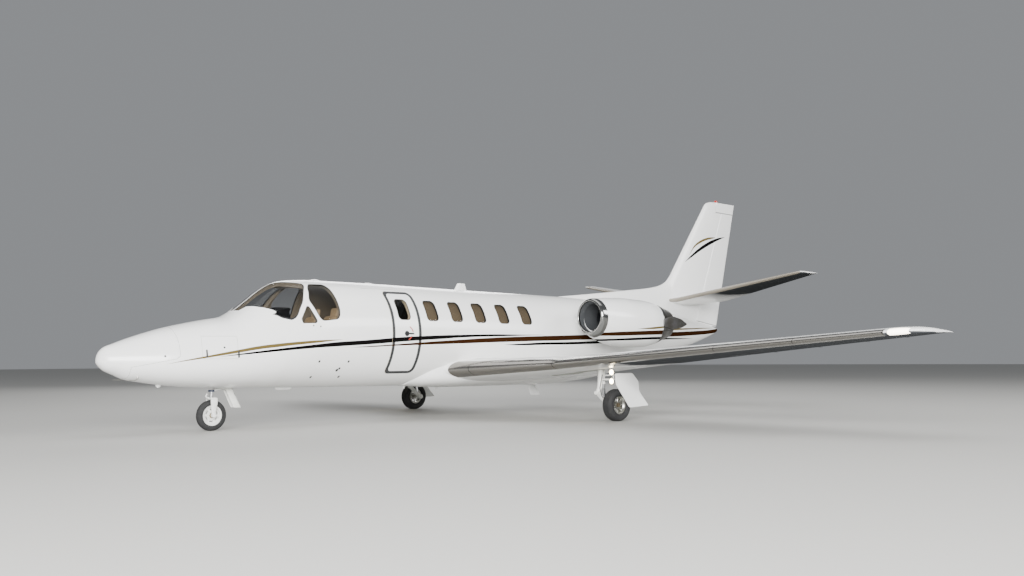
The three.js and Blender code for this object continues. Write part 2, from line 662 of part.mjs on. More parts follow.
/** The wheel well in a wing's lower side: a round well for the wheel, and a slot and a pocket for the leg. */
function wheelWell(side) {
  const block = (from, to, start, end, top) => box(
    [Math.min(side * from, side * to), start, 300], [Math.max(side * from, side * to), end, top],
  );
  const well = bar([side * 1760, 7560, 300], [side * 1760, 7560, wingPocketTop(1760)], 300, 300, 20);
  return well.add(block(1760, 2735, 7330, 7620, wingPocketTop(1760)))
    .add(block(LEG_OUT - 70, LEG_OUT + 70, 7340, 7580, wingPocketTop(LEG_OUT)));
}

// Cabin

/** A seat that faces forward, or aft where way is -1: its foot, cushion, back and headrest. */
function seat(x, station, width, way = 1) {
  const outline = (points) => points.map(([s, z]) => [station + way * s, FLOOR_TOP + FIT + z]);
  const foot = [[0, 0], [330, 0], [360, 280], [-20, 280]];
  const body = [[-80, 260], [400, 240], [540, 300], [660, 830], [560, 860], [430, 440], [-60, 410], [-100, 340]];
  const head = [[575, 810], [650, 810], [690, 980], [615, 995]];
  return sidePrism(outline(foot), x - 140, x + 140)
    .add(sidePrism(outline(body), x - width / 2, x + width / 2))
    .add(sidePrism(outline(head), x - 110, x + 110));
}

function cabin(group) {
  const floorBlock = box([-800, FLOOR_START, FLOOR_TOP - FLOOR_DEPTH], [800, CABIN_VOID_END - 5, FLOOR_TOP]);
  const inside = hull(COCKPIT_VOID + 50, CABIN_VOID_END, -WALL - FIT);
  const doorSide = box([300, DOOR.start - 40, 800], [900, DOOR.end + 40, FLOOR_TOP + 20])
    .subtract(hull(DOOR.start - 100, DOOR.end + 100, -WALL - RUNNING));
  group.add(piece('cabin_floor', floorBlock.intersect(inside).subtract(doorSide), CARPET));

  [['port', 1], ['starboard', -1]].forEach(([name, side]) => {
    group.add(piece(`pilot_seat_${name}`, seat(side * 300, 3080, 420), LEATHER));
    const rows = [[5880, -1], [6300, 1], [7450, 1]];
    const chairs = rows.map(([station, way]) => seat(side * 395, station, 430, way));
    const rail = box([side * 395 - 30, 5600, FLOOR_TOP + FIT], [side * 395 + 30, 7700, FLOOR_TOP + 35]);
    group.add(piece(`cabin_seats_${name}`, chairs.reduce((sum, next) => sum.add(next), rail), LEATHER));
  });

  const shroud = sidePrism(
    [[2230, 1740], [2330, 1832], [2560, 1872], [2725, 1866], [2738, 1842], [2706, 1800], [2700, 1560],
      [2640, 1280], [2760, 1240], [2960, 1120], [2960, FLOOR_TOP + FIT], [2520, FLOOR_TOP + FIT], [2480, 1240]],
    -660, 660,
  );
  const kneeRoom = [1, -1].map((side) => box([Math.min(side * 150, side * 700), 2200, 800],
    [Math.max(side * 150, side * 700), 3000, 1300]));
  const panel = shroud.subtract(kneeRoom[0]).subtract(kneeRoom[1]).intersect(hull(2160, 3300, -WALL - FIT * 2));
  group.add(piece('instrument_panel', panel, PANEL_BLACK));
}

// Fuselage sections, glazing and doors

/** Top view of one half of the windshield: the middle post's edge, the roof's edge and the side post's edge. */
const windshieldOutline = (side, shrink) => {
  const points = [
    [45 + shrink, 2050 + shrink], [200, 2085 + shrink], [450 - shrink, 2225 + shrink], [600 - shrink, 2400 + shrink],
    [690 - shrink, 2540 + shrink], [738 - shrink, 2680], [735 - shrink, 2780 - shrink], [640 - shrink, 2925 - shrink],
    [400 - shrink, 3080 - shrink], [320, 3090 - shrink], [190, 2870 - shrink], [45 + shrink, 2740 - shrink],
  ];
  return points.map(([x, s]) => [side * x, s]);
};

/** Side view of a cockpit side window. */
const sideWindowOutline = (shrink) => [
  [3190, 1661 + shrink], [3445 - shrink, 1690 + shrink], [3494 - shrink, 1740 + shrink], [3517 - shrink, 1837],
  [3512 - shrink, 1990], [3495 - shrink, 2180 - shrink], [3440, 2250 - shrink], [3215 + shrink, 2250 - shrink],
  [3150 + shrink, 2190], [3045 + shrink, 1990], [3141 + shrink, 1709],
];

/** Side view of the small pane between the windshield and a side window. */
const quarterOutline = (shrink) => [
  [2866 + shrink, 1628 + shrink], [3072 - shrink, 1632 + shrink], [3094 - 2 * shrink, 1668],
  [3006 - shrink, 1876 - shrink], [2970 + shrink, 1876 - shrink], [2853 + 2 * shrink, 1690],
];

/** One nose bay, made smaller by a gap for its door. */
function bayRoom(side, gap) {
  const line = (place, out) => [side * out, place - BAY.skew * (out - BAY.middle)];
  const [start, end] = [BAY.start + gap, BAY.end - gap];
  const outline = [line(start, BAY.inner), line(start, 900), line(end, 900), line(end, BAY.inner)];
  return planPrism(outline, BAY.low + gap, BAY.high - gap);
}

function fuselage(group) {
  const sides = [['port', 1], ['starboard', -1]];
  const nose = hull(0, NOSE_END);
  const radomeCut = sidePrism(RADOME.map(([s, z]) => [s + FIT, z - FIT]), -900, 900);
  group.add(piece('radome', nose.intersect(sidePrism(RADOME, -900, 900)), WHITE));

  const legPocket = box([-135, 1540, 400], [135, NOSE_END + 50, 850]);
  const noseBody = nose.subtract(radomeCut).subtract(bayRoom(1, 0)).subtract(bayRoom(-1, 0)).subtract(legPocket);
  group.add(piece('nose_section', noseBody, WHITE));
  const skin = hull(1200, NOSE_END).subtract(hull(1200, NOSE_END, -BAY.skin));
  sides.forEach(([name, side]) => {
    group.add(piece(`nose_bay_door_${name}`, skin.intersect(bayRoom(side, RUNNING)), WHITE));
  });

  const cockpitShell = hull(NOSE_END + FIT, COCKPIT_END).subtract(hull(COCKPIT_VOID, COCKPIT_END + 50, -WALL));
  const bracePocket = box([-110, 1900, 500], [110, 2150, 690]);
  let cockpit = cockpitShell.subtract(bracePocket);
  const pane = hull(2000, 3700, -8).subtract(hull(2000, 3700, -30));
  sides.forEach(([name, side]) => {
    const out = [side * 250, side * 1000].sort((a, b) => a - b);
    cockpit = cockpit.subtract(planPrism(windshieldOutline(side, 0), 1560, 2600))
      .subtract(sidePrism(sideWindowOutline(0), ...out)).subtract(sidePrism(quarterOutline(0), ...out));
    const front = pane.intersect(planPrism(windshieldOutline(side, FIT), 1560, 2600));
    group.add(piece(`windshield_${name}`, front, GLASS));
    const lateral = pane.intersect(sidePrism(sideWindowOutline(FIT), ...out));
    group.add(piece(`side_window_${name}`, lateral, GLASS));
    const quarter = pane.intersect(sidePrism(quarterOutline(FIT), ...out));
    group.add(piece(`quarter_window_${name}`, quarter, GLASS));
  });
  group.add(piece('cockpit_section', cockpit, WHITE));

  const shell = hull(COCKPIT_END + FIT, CABIN_END).subtract(hull(COCKPIT_END - 50, CABIN_VOID_END, -WALL));
  const windowCut = (station, low, high) => {
    const [edge, drop] = [WINDOW.width / 2, WINDOW.fall * (station - WINDOW.datum)];
    const outline = roundedRectangle(
      station - edge, station + edge, WINDOW.low - drop, WINDOW.high - drop, WINDOW.corner,
    );
    return sideShapePrism(outline, low, high, 2);
  };
  const doorway = sideShapePrism(roundedRectangle(DOOR.start, DOOR.end, DOOR.low, DOOR.high, DOOR.corner), 250, 1000);
  let barrel = shell.subtract(doorway).subtract(windowCut(STARBOARD_EXTRA, -1000, -300));
  WINDOW_STATIONS.forEach((station) => {
    barrel = barrel.subtract(windowCut(station, -1000, 1000));
  });
  group.add(piece('cabin_section', barrel, WHITE));

  const leaf = sideShapePrism(roundedRectangle(
    DOOR.start + RUNNING, DOOR.end - RUNNING, DOOR.low + RUNNING, DOOR.high - RUNNING, DOOR.corner - RUNNING,
  ), 250, 1000);
  const door = shell.intersect(leaf).subtract(windowCut(DOOR_WINDOW, 300, 1000)).subtract(doorBevel());
  group.add(piece('cabin_door', door, WHITE));

  const tailShell = hull(CABIN_END + FIT, TAIL_END).subtract(hull(CABIN_END, TAIL_VOID_END, -TAIL_WALL));
  group.add(piece('tail_section', tailShell, WHITE));
  const fairing = bellyFairing().subtract(hull(4800, 9600, FIT));
  group.add(piece('belly_fairing', fairing, WHITE));
}

/** What is bevelled off the door's aft edge, so that its inner side swings clear of the doorway. */
function doorBevel() {
  const levels = 9;
  const [low, high] = [DOOR.low - 5, DOOR.high + 5];
  const corner = DOOR.corner;
  return loft(levels, 4, (row, angle) => {
    const height = low + ((high - low) * row) / (levels - 1);
    const out = hullOut(4800, height);
    const above = Math.max(0, Math.max(height - (DOOR.high - corner), DOOR.low + corner - height));
    const edge = DOOR.end - RUNNING - corner + Math.sqrt(Math.max(0, corner ** 2 - Math.min(above, corner) ** 2));
    const slope = ((DOOR.hingeX - out) / DOOR_SWEEP.length) * DOOR_SWEEP.share + DOOR_SWEEP.margin;
    const side = Math.round((angle / (2 * Math.PI)) * 4) % 4;
    const corners = [
      [out + 15, edge + 2 + 15 * slope], [out - 420, edge + 2 - 420 * slope], [out - 420, edge + 400],
      [out + 15, edge + 400],
    ];
    return new THREE.Vector3(corners[side][0], corners[side][1], height);
  }, (row) => {
    const height = low + ((high - low) * row) / (levels - 1);
    return new THREE.Vector3(hullOut(4800, height) - 150, DOOR.end + 150, height);
  });
}

// Wings and tail

function wings(group) {
  [['port', 1], ['starboard', -1]].forEach(([name, side]) => {
    const flap = cutFromWing(wing(side), side, FLAP);
    const aileron = cutFromWing(flap.rest, side, AILERON);
    const edgeLine = (share) => [LEADING_EDGE.inner, 2300, LEADING_EDGE.outer].map((out) => {
      const [, lead, trail] = along(WING, out);
      return [side * out, lead + share * (trail - lead)];
    });
    const frontOutline = (clearance) => {
      const line = edgeLine(LEADING_EDGE.share).map(([x, s]) => [x, s + clearance]);
      return [[line[0][0] - side * clearance, line[0][1]], line[1], [line[2][0] + side * clearance, line[2][1]],
        [line[2][0] + side * clearance, 5000], [line[0][0] - side * clearance, 5000]];
    };
    const root = hull(4800, 9600, FIT).add(bellyFairing(FIT));
    const edge = wing(side).intersect(planPrism(frontOutline(0), 300, 2200)).subtract(root);
    group.add(piece(`leading_edge_${name}`, edge, POLISHED));
    const panel = aileron.rest.subtract(planPrism(frontOutline(FIT), 300, 2200)).subtract(root)
      .subtract(wheelWell(side));
    group.add(piece(`wing_${name}`, panel, WHITE));
    group.add(piece(`flap_${name}`, flap.surface, WHITE));
    group.add(piece(`aileron_${name}`, aileron.surface, WHITE));
  });
}

function tail(group) {
  const blade = finBlade();
  const half = (height) => {
    const [, lead, trail, thickness] = along(FIN, height);
    const hingeStation = RUDDER.hinge[0][0] + ((height - RUDDER.hinge[0][1]) / (RUDDER.hinge[1][1] - RUDDER.hinge[0][1]))
      * (RUDDER.hinge[1][0] - RUDDER.hinge[0][0]);
    return halfThickness((hingeStation - lead) / (trail - lead)) * thickness * (trail - lead);
  };
  const [foot, head] = RUDDER.hinge;
  const lean = (head[0] - foot[0]) / (head[1] - foot[1]);
  const hingeAt = (height) => foot[0] + (height - foot[1]) * lean;
  const region = (clearance) => {
    const under = RUDDER.low.map(([s, z]) => [s, z - clearance * 3]);
    const top = 4800;
    const horn = RUDDER.hornHeight - clearance * 2;
    return [
      [hingeAt(under[0][1]), under[0][1]], [hingeAt(horn), horn], [RUDDER.hornStart - clearance * 2, horn],
      [RUDDER.hornStart - clearance * 2, top], [15100, top], [15100, under[1][1]], under[1],
    ];
  };
  const noseEnds = (low, high) => [[0, hingeAt(low), low], [0, hingeAt(high), high]];
  const radii = [half(1870) + 4, half(4390) + 4];
  const rudder = splitAtHinge(
    blade, sidePrism(region(0), -300, 300), sidePrism(region(RUNNING), -300, 300),
    [...noseEnds(1872, 4398), ...noseEnds(1866, 4404)], radii,
  );
  const { station, foot: lampFoot, top: lampTop, radius } = BEACON;
  const beacon = bar([0, station, lampFoot], [0, station, lampTop], radius, radius * 0.7, 12);
  group.add(piece('rudder', rudder.surface.subtract(hull(CABIN_END, TAIL_END, RUNNING * 2)).add(beacon), WHITE));
  const fin = rudder.rest.add(finRidge().subtract(sidePrism(region(RUNNING), -300, 300)))
    .subtract(hull(CABIN_END, TAIL_END, FIT)).subtract(tailplane(FIT));
  group.add(piece('fin', fin, WHITE));

  const rudderRoom = box([-ELEVATOR.inner - 5, 13385, 2000], [ELEVATOR.inner + 5, 14500, 2600]);
  let plane = tailplane().subtract(rudderRoom);
  const line = (out) => along(ELEVATOR.hinge, out)[1];
  const middle = (out) => along(TAILPLANE, out)[3];
  const thickAt = (out) => {
    const [, lead, trail, , thickness] = along(TAILPLANE, out);
    return halfThickness((line(out) - lead) / (trail - lead)) * thickness * (trail - lead) + 3;
  };
  [['port', 1], ['starboard', -1]].forEach(([name, side]) => {
    const outline = (from, slant, to) => [
      [side * from, line(from)], [side * to, line(to)], [side * to, 14500], [side * slant, 14500], [side * slant, 14060],
    ];
    const [from, to] = [ELEVATOR.inner + END_GAP, ELEVATOR.outer - END_GAP];
    const point = (out) => [side * out, line(out), middle(out)];
    const split = splitAtHinge(
      plane, planPrism(outline(from, ELEVATOR.slantEnd, to), 2000, 3100),
      planPrism(outline(ELEVATOR.inner, ELEVATOR.inner, ELEVATOR.outer), 2000, 3100),
      [point(from), point(to), point(ELEVATOR.inner), point(ELEVATOR.outer)], [thickAt(from), thickAt(to)],
    );
    group.add(piece(`elevator_${name}`, split.surface, WHITE));
    plane = split.rest;
  });
  group.add(piece('tailplane', plane, WHITE));
}

const group = new THREE.Group();
const aircraft = new THREE.Group();
aircraft.position.y = -LENGTH / 2;
fuselage(aircraft);
cabin(aircraft);
wings(aircraft);
tail(aircraft);
[['port', 1], ['starboard', -1]].forEach(([name, side]) => {
  nacelleSide(aircraft, name, side);
  engineSide(aircraft, name, side);
  mainGear(aircraft, name, side);
});
noseGear(aircraft);
group.add(aircraft);

export default group;
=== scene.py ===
"""Business jet: paint, bare metal, glass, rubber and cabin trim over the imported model.

Metres. X points to port, Y aft and Z up. Shapes are drawn by station, the distance aft of the nose tip, as in the
part's source, and are moved into the row frame as each mesh is made.
"""
import sys
import logging
from collections.abc import Callable, Sequence
from dataclasses import dataclass
from enum import Enum
from math import atan2, ceil, cos, hypot, pi, radians, sin, sqrt, tan

import bmesh
import bpy
import numpy as np
from mathutils import Matrix, Vector


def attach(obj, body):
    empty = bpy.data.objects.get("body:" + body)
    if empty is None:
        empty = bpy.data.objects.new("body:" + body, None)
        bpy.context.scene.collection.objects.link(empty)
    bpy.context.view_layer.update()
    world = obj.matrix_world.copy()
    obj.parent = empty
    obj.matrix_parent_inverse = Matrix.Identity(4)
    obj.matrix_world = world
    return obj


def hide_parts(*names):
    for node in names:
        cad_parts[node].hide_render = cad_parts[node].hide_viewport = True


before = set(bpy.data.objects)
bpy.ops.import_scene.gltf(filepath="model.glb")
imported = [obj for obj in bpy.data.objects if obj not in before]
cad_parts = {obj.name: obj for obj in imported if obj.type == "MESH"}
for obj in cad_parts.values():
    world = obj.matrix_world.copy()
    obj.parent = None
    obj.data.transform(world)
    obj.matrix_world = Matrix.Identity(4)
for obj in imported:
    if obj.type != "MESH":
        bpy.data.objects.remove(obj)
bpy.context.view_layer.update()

HALF_LENGTH = 7.45
SIDES = (("port", 1), ("starboard", -1))
AROUND = 128
SHARP = radians(35)
SEAM = 0.0003
DEEP = 0.009

log = logging.getLogger("jet")

Piece = bpy.types.Object
Tree = bpy.types.NodeTree
Node = bpy.types.Node
Socket = bpy.types.NodeSocket
Array = np.ndarray
Level = Callable[[Array], Array]
Rows = Sequence[Sequence[float]]
Sizes = tuple[float, ...]
Outline = Sequence[tuple[float, float]]
Links = dict[str | int, object]


class Plane(Enum):
    """The plane that an outline is drawn in."""

    SIDE = "station and height"
    TOP = "distance out and station"


class Cut(Enum):
    """What a tool does to a body."""

    AWAY = "DIFFERENCE"
    COMMON = "INTERSECT"
    JOIN = "UNION"


# Driving tables, in metres, as in the part's source

# Hull: station, bottom, widest line, top, half width, roundness above and below the widest line
HULL = [
    [0.0, 1.065, 1.065, 1.065, 0.0, 2, 2], [0.04, 0.985, 1.062, 1.200, 0.105, 2, 2],
    [0.11, 0.925, 1.058, 1.263, 0.170, 2, 2], [0.24, 0.865, 1.055, 1.315, 0.250, 2, 2],
    [0.40, 0.795, 1.052, 1.376, 0.335, 2, 2.1], [0.66, 0.747, 1.050, 1.462, 0.440, 2, 2.2],
    [0.96, 0.701, 1.055, 1.547, 0.535, 2, 2.3], [1.30, 0.668, 1.065, 1.622, 0.615, 2, 2.3],
    [1.60, 0.651, 1.080, 1.678, 0.668, 2, 2.3], [1.85, 0.643, 1.100, 1.721, 0.705, 2, 2.3],
    [2.05, 0.638, 1.125, 1.819, 0.732, 2, 2.3], [2.25, 0.634, 1.160, 1.967, 0.757, 2, 2.2],
    [2.49, 0.630, 1.215, 2.151, 0.785, 2, 2.2], [2.67, 0.627, 1.265, 2.254, 0.803, 2, 2.1],
    [2.88, 0.624, 1.330, 2.316, 0.822, 2, 2.1], [3.35, 0.618, 1.440, 2.348, 0.848, 2, 2],
    [3.95, 0.613, 1.475, 2.346, 0.855, 2, 2], [6.275, 0.5965, 1.450, 2.309, 0.8525, 2, 2],
    [8.60, 0.580, 1.425, 2.272, 0.850, 2, 2], [9.30, 0.600, 1.425, 2.260, 0.825, 2, 2],
    [10.2, 0.705, 1.440, 2.228, 0.745, 2, 2], [11.2, 0.925, 1.490, 2.160, 0.615, 2, 2],
    [12.2, 1.140, 1.550, 2.050, 0.460, 2, 2], [13.1, 1.324, 1.600, 1.890, 0.295, 2, 2],
    [13.65, 1.472, 1.640, 1.800, 0.180, 2, 2], [14.0, 1.585, 1.660, 1.735, 0.100, 2, 2],
    [14.085, 1.616, 1.665, 1.713, 0.064, 2, 2],
]
WALL = 0.070
NOSE_END, COCKPIT_VOID, COCKPIT_END, CABIN_END, CABIN_VOID_END, TAIL_END = 1.95, 2.15, 3.95, 8.60, 8.45, 14.085
RADOME = [(-0.05, 0.5), (0.38, 0.5), (0.38, 0.975), (0.95, 1.09), (1.0, 1.13), (1.0, 2.0), (-0.05, 2.0)]

# Belly fairing: station, half width, bottom
FAIRING = [[5.15, 0.42, 0.605], [5.5, 0.64, 0.575], [6.1, 0.79, 0.555], [8.3, 0.81, 0.555], [8.85, 0.64, 0.572],
           [9.3, 0.36, 0.602]]

# Wing: distance out, leading edge, trailing edge, height, thickness, twist in degrees
WING = [[0.6, 5.585, 8.78, 0.862, 0.13, 3.2], [2.3, 6.66, 8.6, 0.962, 0.13, 3.2],
        [7.88, 7.31, 8.4, 1.386, 0.115, 1.3], [8.1, 7.43, 8.45, 1.403, 0.105, 1.0],
        [8.2, 7.66, 8.5, 1.408, 0.09, 0.8], [8.24, 8.0, 8.53, 1.404, 0.06, 0.5]]
WING_CAMBER = 0.018
# Tailplane: distance out, leading edge, trailing edge, height, thickness, twist
TAILPLANE = [[0.25, 12.35, 14.03, 2.3, 0.10, 0], [2.95, 12.872, 13.588, 2.758, 0.10, 0],
             [3.01, 12.93, 13.588, 2.768, 0.08, 0], [3.035, 13.1, 13.58, 2.773, 0.05, 0]]
# Fin: height, leading edge, trailing edge, thickness
FIN = [[1.75, 11.7, 14.13, 0.10], [2.96, 12.59, 14.45, 0.10], [4.45, 13.7, 14.848, 0.095],
       [4.59, 13.83, 14.886, 0.08], [4.632, 13.98, 14.9, 0.05]]
# Ridge ahead of the fin: station, top, half width
RIDGE = [[9.05, 2.272, 0.025], [10.04, 2.365, 0.055], [11.01, 2.465, 0.08], [12.04, 2.591, 0.10],
         [12.33, 2.695, 0.105], [12.48, 2.82, 0.105], [12.64, 3.01, 0.095]]

# Engine: station, middle height, radius
NACELLE = [[8.6, 1.797, 0.364], [8.75, 1.770, 0.400], [9.0, 1.741, 0.441], [9.33, 1.722, 0.466],
           [9.8, 1.708, 0.458], [10.2, 1.710, 0.395], [10.44, 1.717, 0.322], [10.58, 1.715, 0.287]]
DUCT = [[8.44, 1.823, 0.296], [8.6, 1.815, 0.263], [8.9, 1.800, 0.268], [9.06, 1.791, 0.300], [9.3, 1.775, 0.340],
        [9.8, 1.750, 0.340], [10.05, 1.738, 0.310], [10.44, 1.722, 0.280], [10.62, 1.713, 0.255]]
# Intake lip, by distance aft of its front: middle height, outer radius, inner radius
LIP = [[0.0, 1.822, 0.2935, 0.2935], [0.02, 1.821, 0.330, 0.279], [0.06, 1.812, 0.348, 0.270],
       [0.13, 1.797, 0.364, 0.263]]
LIP_START = 8.47
ENGINE_X = 1.42


# Tables and points


def smooth(rows: Rows, places: Array, root: bool = False) -> Array:
    """Columns of a table at many places, on a smooth curve that never overshoots its rows.

    Args:
        rows: The table. Its first column is the place.
        places: Where the columns are wanted.
        root: Whether to work along the square root of the place, which rounds off a nose.

    Returns:
        One row for each place, without the first column.
    """
    table = np.array(rows, float)
    xs = np.sqrt(table[:, 0]) if root else table[:, 0]
    at = np.sqrt(np.maximum(places, 0)) if root else np.asarray(places, float)
    step = np.diff(xs)
    slope = np.diff(table[:, 1:], axis=0) / step[:, None]
    before, after = slope[:-1], slope[1:]
    first, second = (2 * step[1:] + step[:-1])[:, None], (step[1:] + 2 * step[:-1])[:, None]
    same = before * after > 0
    weights = first / np.where(same, before, 1) + second / np.where(same, after, 1)
    tangent = np.vstack([slope[:1], np.where(same, (first + second) / weights, 0), slope[-1:]])
    i = np.clip(np.searchsorted(xs, at) - 1, 0, len(step) - 1)
    width = step[i][:, None]
    t = np.clip((at - xs[i])[:, None] / width, 0, 1)
    return (
        (1 + 2 * t) * (1 - t) ** 2 * table[i, 1:] + t * (1 - t) ** 2 * width * tangent[i]
        + t * t * (3 - 2 * t) * table[i + 1, 1:] + t * t * (t - 1) * width * tangent[i + 1]
    )


def straight(rows: Rows, place: float) -> Array:
    """All columns of a table at one place, on straight lines between its rows."""
    table = np.array(rows, float)
    return np.array([np.interp(place, table[:, 0], table[:, k]) for k in range(table.shape[1])])


def spaced(low: float, high: float, step: float) -> Array:
    """Places from low to high, no further apart than step."""
    return np.linspace(low, high, max(2, ceil((high - low) / step) + 1))


def full_turn(count: int) -> Array:
    """Angles at even steps once round."""
    return np.linspace(0, 2 * pi, count, endpoint=False)


def ring(station: float, height: float, radius: float, angles: Sequence[float]) -> Outline:
    """Points at some angles round a place, in side view."""
    return [(station + radius * cos(a), height + radius * sin(a)) for a in angles]


def power(values: Array, roundness: Array) -> Array:
    """A sine or cosine as a rounder or squarer section has it."""
    return np.sign(values) * np.abs(values) ** (2 / roundness)


def rounded_rectangle(start: float, end: float, low: float, high: float, corner: float) -> Outline:
    """A rectangle with round corners.

    Args:
        start: Its first edge.
        end: Its far edge.
        low: Its lower edge.
        high: Its upper edge.
        corner: The corners' radius.

    Returns:
        The outline's points, in order.
    """
    middles = ((end - corner, low + corner, -90), (end - corner, high - corner, 0),
               (start + corner, high - corner, 90), (start + corner, low + corner, 180))
    return [
        (u + corner * cos(radians(turn + 10 * k)), v + corner * sin(radians(turn + 10 * k)))
        for u, v, turn in middles for k in range(10)
    ]


def softened(outline: Outline, radius: float, steps: int = 6) -> Outline:
    """An outline with its corners rounded off.

    Args:
        outline: The corners, in order.
        radius: How far from a corner its curve starts, at most.
        steps: The number of straight pieces in each curve.

    Returns:
        The rounded outline's points, in order.
    """
    corners = [np.array(point, float) for point in outline]
    points = []
    for k, corner in enumerate(corners):
        ends = []
        for other in (corners[k - 1], corners[(k + 1) % len(corners)]):
            away = other - corner
            length = float(np.linalg.norm(away))
            ends.append(corner + away / length * min(radius, length * 0.45))
        for share in np.linspace(0, 1, steps + 1):
            point = (1 - share) ** 2 * ends[0] + 2 * share * (1 - share) * corner + share ** 2 * ends[1]
            points.append((float(point[0]), float(point[1])))
    return points


# Meshes


def make(name: str, points: Array, faces: list[list[int]], index: int = 0) -> Piece:
    """A closed mesh, turned the right way out, as an object.

    Args:
        name: The object's name.
        points: Its points, by station.
        faces: The points of each face.
        index: The material slot of all its faces.

    Returns:
        The new object.
    """
    place = np.array(points, float).reshape(-1, 3)
    place[:, 1] -= HALF_LENGTH
    mesh = bpy.data.meshes.new(name)
    mesh.from_pydata(place.tolist(), [], faces)
    work = bmesh.new()
    work.from_mesh(mesh)
    bmesh.ops.remove_doubles(work, verts=work.verts, dist=1e-6)
    if work.calc_volume(signed=True) < 0:
        bmesh.ops.reverse_faces(work, faces=work.faces)
    work.to_mesh(mesh)
    work.free()
    for _ in range(4):
        mesh.materials.append(None)
    mesh.polygons.foreach_set("material_index", [index] * len(mesh.polygons))
    piece = bpy.data.objects.new(name, mesh)
    bpy.context.scene.collection.objects.link(piece)
    return piece


def loft(name: str, rings: Array, closed: bool = False, index: int = 0) -> Piece:
    """A closed surface through rings of points.

    Args:
        name: The object's name.
        rings: Rings by points by three coordinates.
        closed: Whether the last ring joins the first; otherwise both ends are capped.
        index: The material slot.

    Returns:
        The new object.
    """
    count, around = rings.shape[:2]
    spans = count if closed else count - 1
    faces = [
        [r * around + k, r * around + (k + 1) % around, (r + 1) % count * around + (k + 1) % around,
         (r + 1) % count * around + k]
        for r in range(spans) for k in range(around)
    ]
    if not closed:
        faces += [list(range(around))[::-1], list(range((count - 1) * around, count * around))]
    return make(name, rings.reshape(-1, 3), faces, index)


def prism(outline: Outline, low: float, high: float, plane: Plane = Plane.SIDE, index: int = 0,
          name: str = "prism") -> Piece:
    """An outline carried from one place to another, square to its plane.

    Args:
        outline: Points in the plane.
        low: Where it starts.
        high: Where it ends.
        plane: The plane it is drawn in.
        index: The material slot.
        name: The object's name.

    Returns:
        The new object.
    """
    flat = np.array(outline, float)
    rings = np.zeros((2, len(flat), 3))
    for ring, level in zip(rings, (low, high)):
        if plane is Plane.SIDE:
            ring[:, 0], ring[:, 1], ring[:, 2] = level, flat[:, 0], flat[:, 1]
        else:
            ring[:, 0], ring[:, 1], ring[:, 2] = flat[:, 0], flat[:, 1], level
    return loft(name, rings, index=index)


def block(low: Sequence[float], high: Sequence[float], index: int = 0, name: str = "block") -> Piece:
    """A box between its lowest and highest corners, for cutting or as a base to bevel."""
    outline = [(low[0], low[1]), (high[0], low[1]), (high[0], high[1]), (low[0], high[1])]
    return prism(outline, low[2], high[2], Plane.TOP, index, name)


def rod(path: Rows, radii: Sequence[float] | float, sides: int = 24, index: int = 0, name: str = "rod") -> Piece:
    """A round bar along a path.

    Args:
        path: The points that its middle passes.
        radii: The radius at each point, or one for all.
        sides: The points round it.
        index: The material slot.
        name: The object's name.

    Returns:
        The new object.
    """
    spine = np.array(path, float)
    way = np.gradient(spine, axis=0)
    way /= np.linalg.norm(way, axis=1)[:, None]
    across = np.cross(way[0], (0, 0, 1) if abs(way[0][2]) < 0.9 else (1, 0, 0))
    turn = full_turn(sides)[:, None]
    rings = []
    for point, ahead, radius in zip(spine, way, np.broadcast_to(radii, len(spine))):
        across = across - ahead * across.dot(ahead)
        across /= np.linalg.norm(across)
        rings.append(point + radius * (np.cos(turn) * across + np.sin(turn) * np.cross(ahead, across)))
    return loft(name, np.array(rings), index=index)


def revolve(profile: Outline, centre: Sequence[float], sides: int = 96, index: int = 0,
            name: str = "wheel") -> Piece:
    """A closed profile of radius and distance out, turned round a line that runs across the jet."""
    turn = full_turn(sides)
    rings = np.array([
        [(centre[0] + across, centre[1] + radius * cos(a), centre[2] + radius * sin(a))
         for radius, across in profile] for a in turn
    ])
    return loft(name, rings, closed=True, index=index)


def baked(piece: Piece) -> Piece:
    """Works a piece's modifiers into its mesh."""
    graph = bpy.context.evaluated_depsgraph_get()
    old, new = piece.data, bpy.data.meshes.new_from_object(piece.evaluated_get(graph))
    piece.modifiers.clear()
    piece.data = new
    bpy.data.meshes.remove(old)
    return piece


def carve(body: Piece, cut: Cut, *tools: Piece, keep: bool = False) -> Piece:
    """Cuts a body by tools, whose faces keep their own material slots.

    Args:
        body: What is cut.
        cut: What each tool does to it.
        tools: The cutting solids.
        keep: Whether the tools stay for another use.

    Returns:
        The body.
    """
    for tool in tools:
        step = body.modifiers.new("cut", "BOOLEAN")
        step.object, step.operation, step.solver = tool, cut.value, "MANIFOLD"
    baked(body)
    if not keep:
        drop(*tools)
    return body


def copied(piece: Piece, name: str, mirror: bool = False) -> Piece:
    """A copy with its own mesh, on the other side of the jet if mirrored."""
    other = piece.copy()
    other.data = piece.data.copy()
    other.name = other.data.name = name
    bpy.context.scene.collection.objects.link(other)
    if mirror:
        other.data.transform(Matrix.Scale(-1, 4, (1, 0, 0)))
        other.data.flip_normals()
    return other


def drop(*pieces: Piece) -> None:
    """Removes objects and their meshes."""
    for piece in pieces:
        bpy.data.meshes.remove(piece.data)


def bevelled(piece: Piece, width: float, segments: int = 2) -> Piece:
    """Rounds the sharp edges of a piece."""
    step = piece.modifiers.new("edges", "BEVEL")
    step.width, step.segments, step.limit_method, step.angle_limit = width, segments, "ANGLE", SHARP
    return baked(piece)


def joined(name: str, pieces: Sequence[Piece]) -> Piece:
    """Several objects as one, each keeping its finishes."""
    first = pieces[0]
    if len(pieces) > 1:
        with bpy.context.temp_override(active_object=first, selected_editable_objects=list(pieces)):
            bpy.ops.object.join()
    first.name = first.data.name = name
    return first


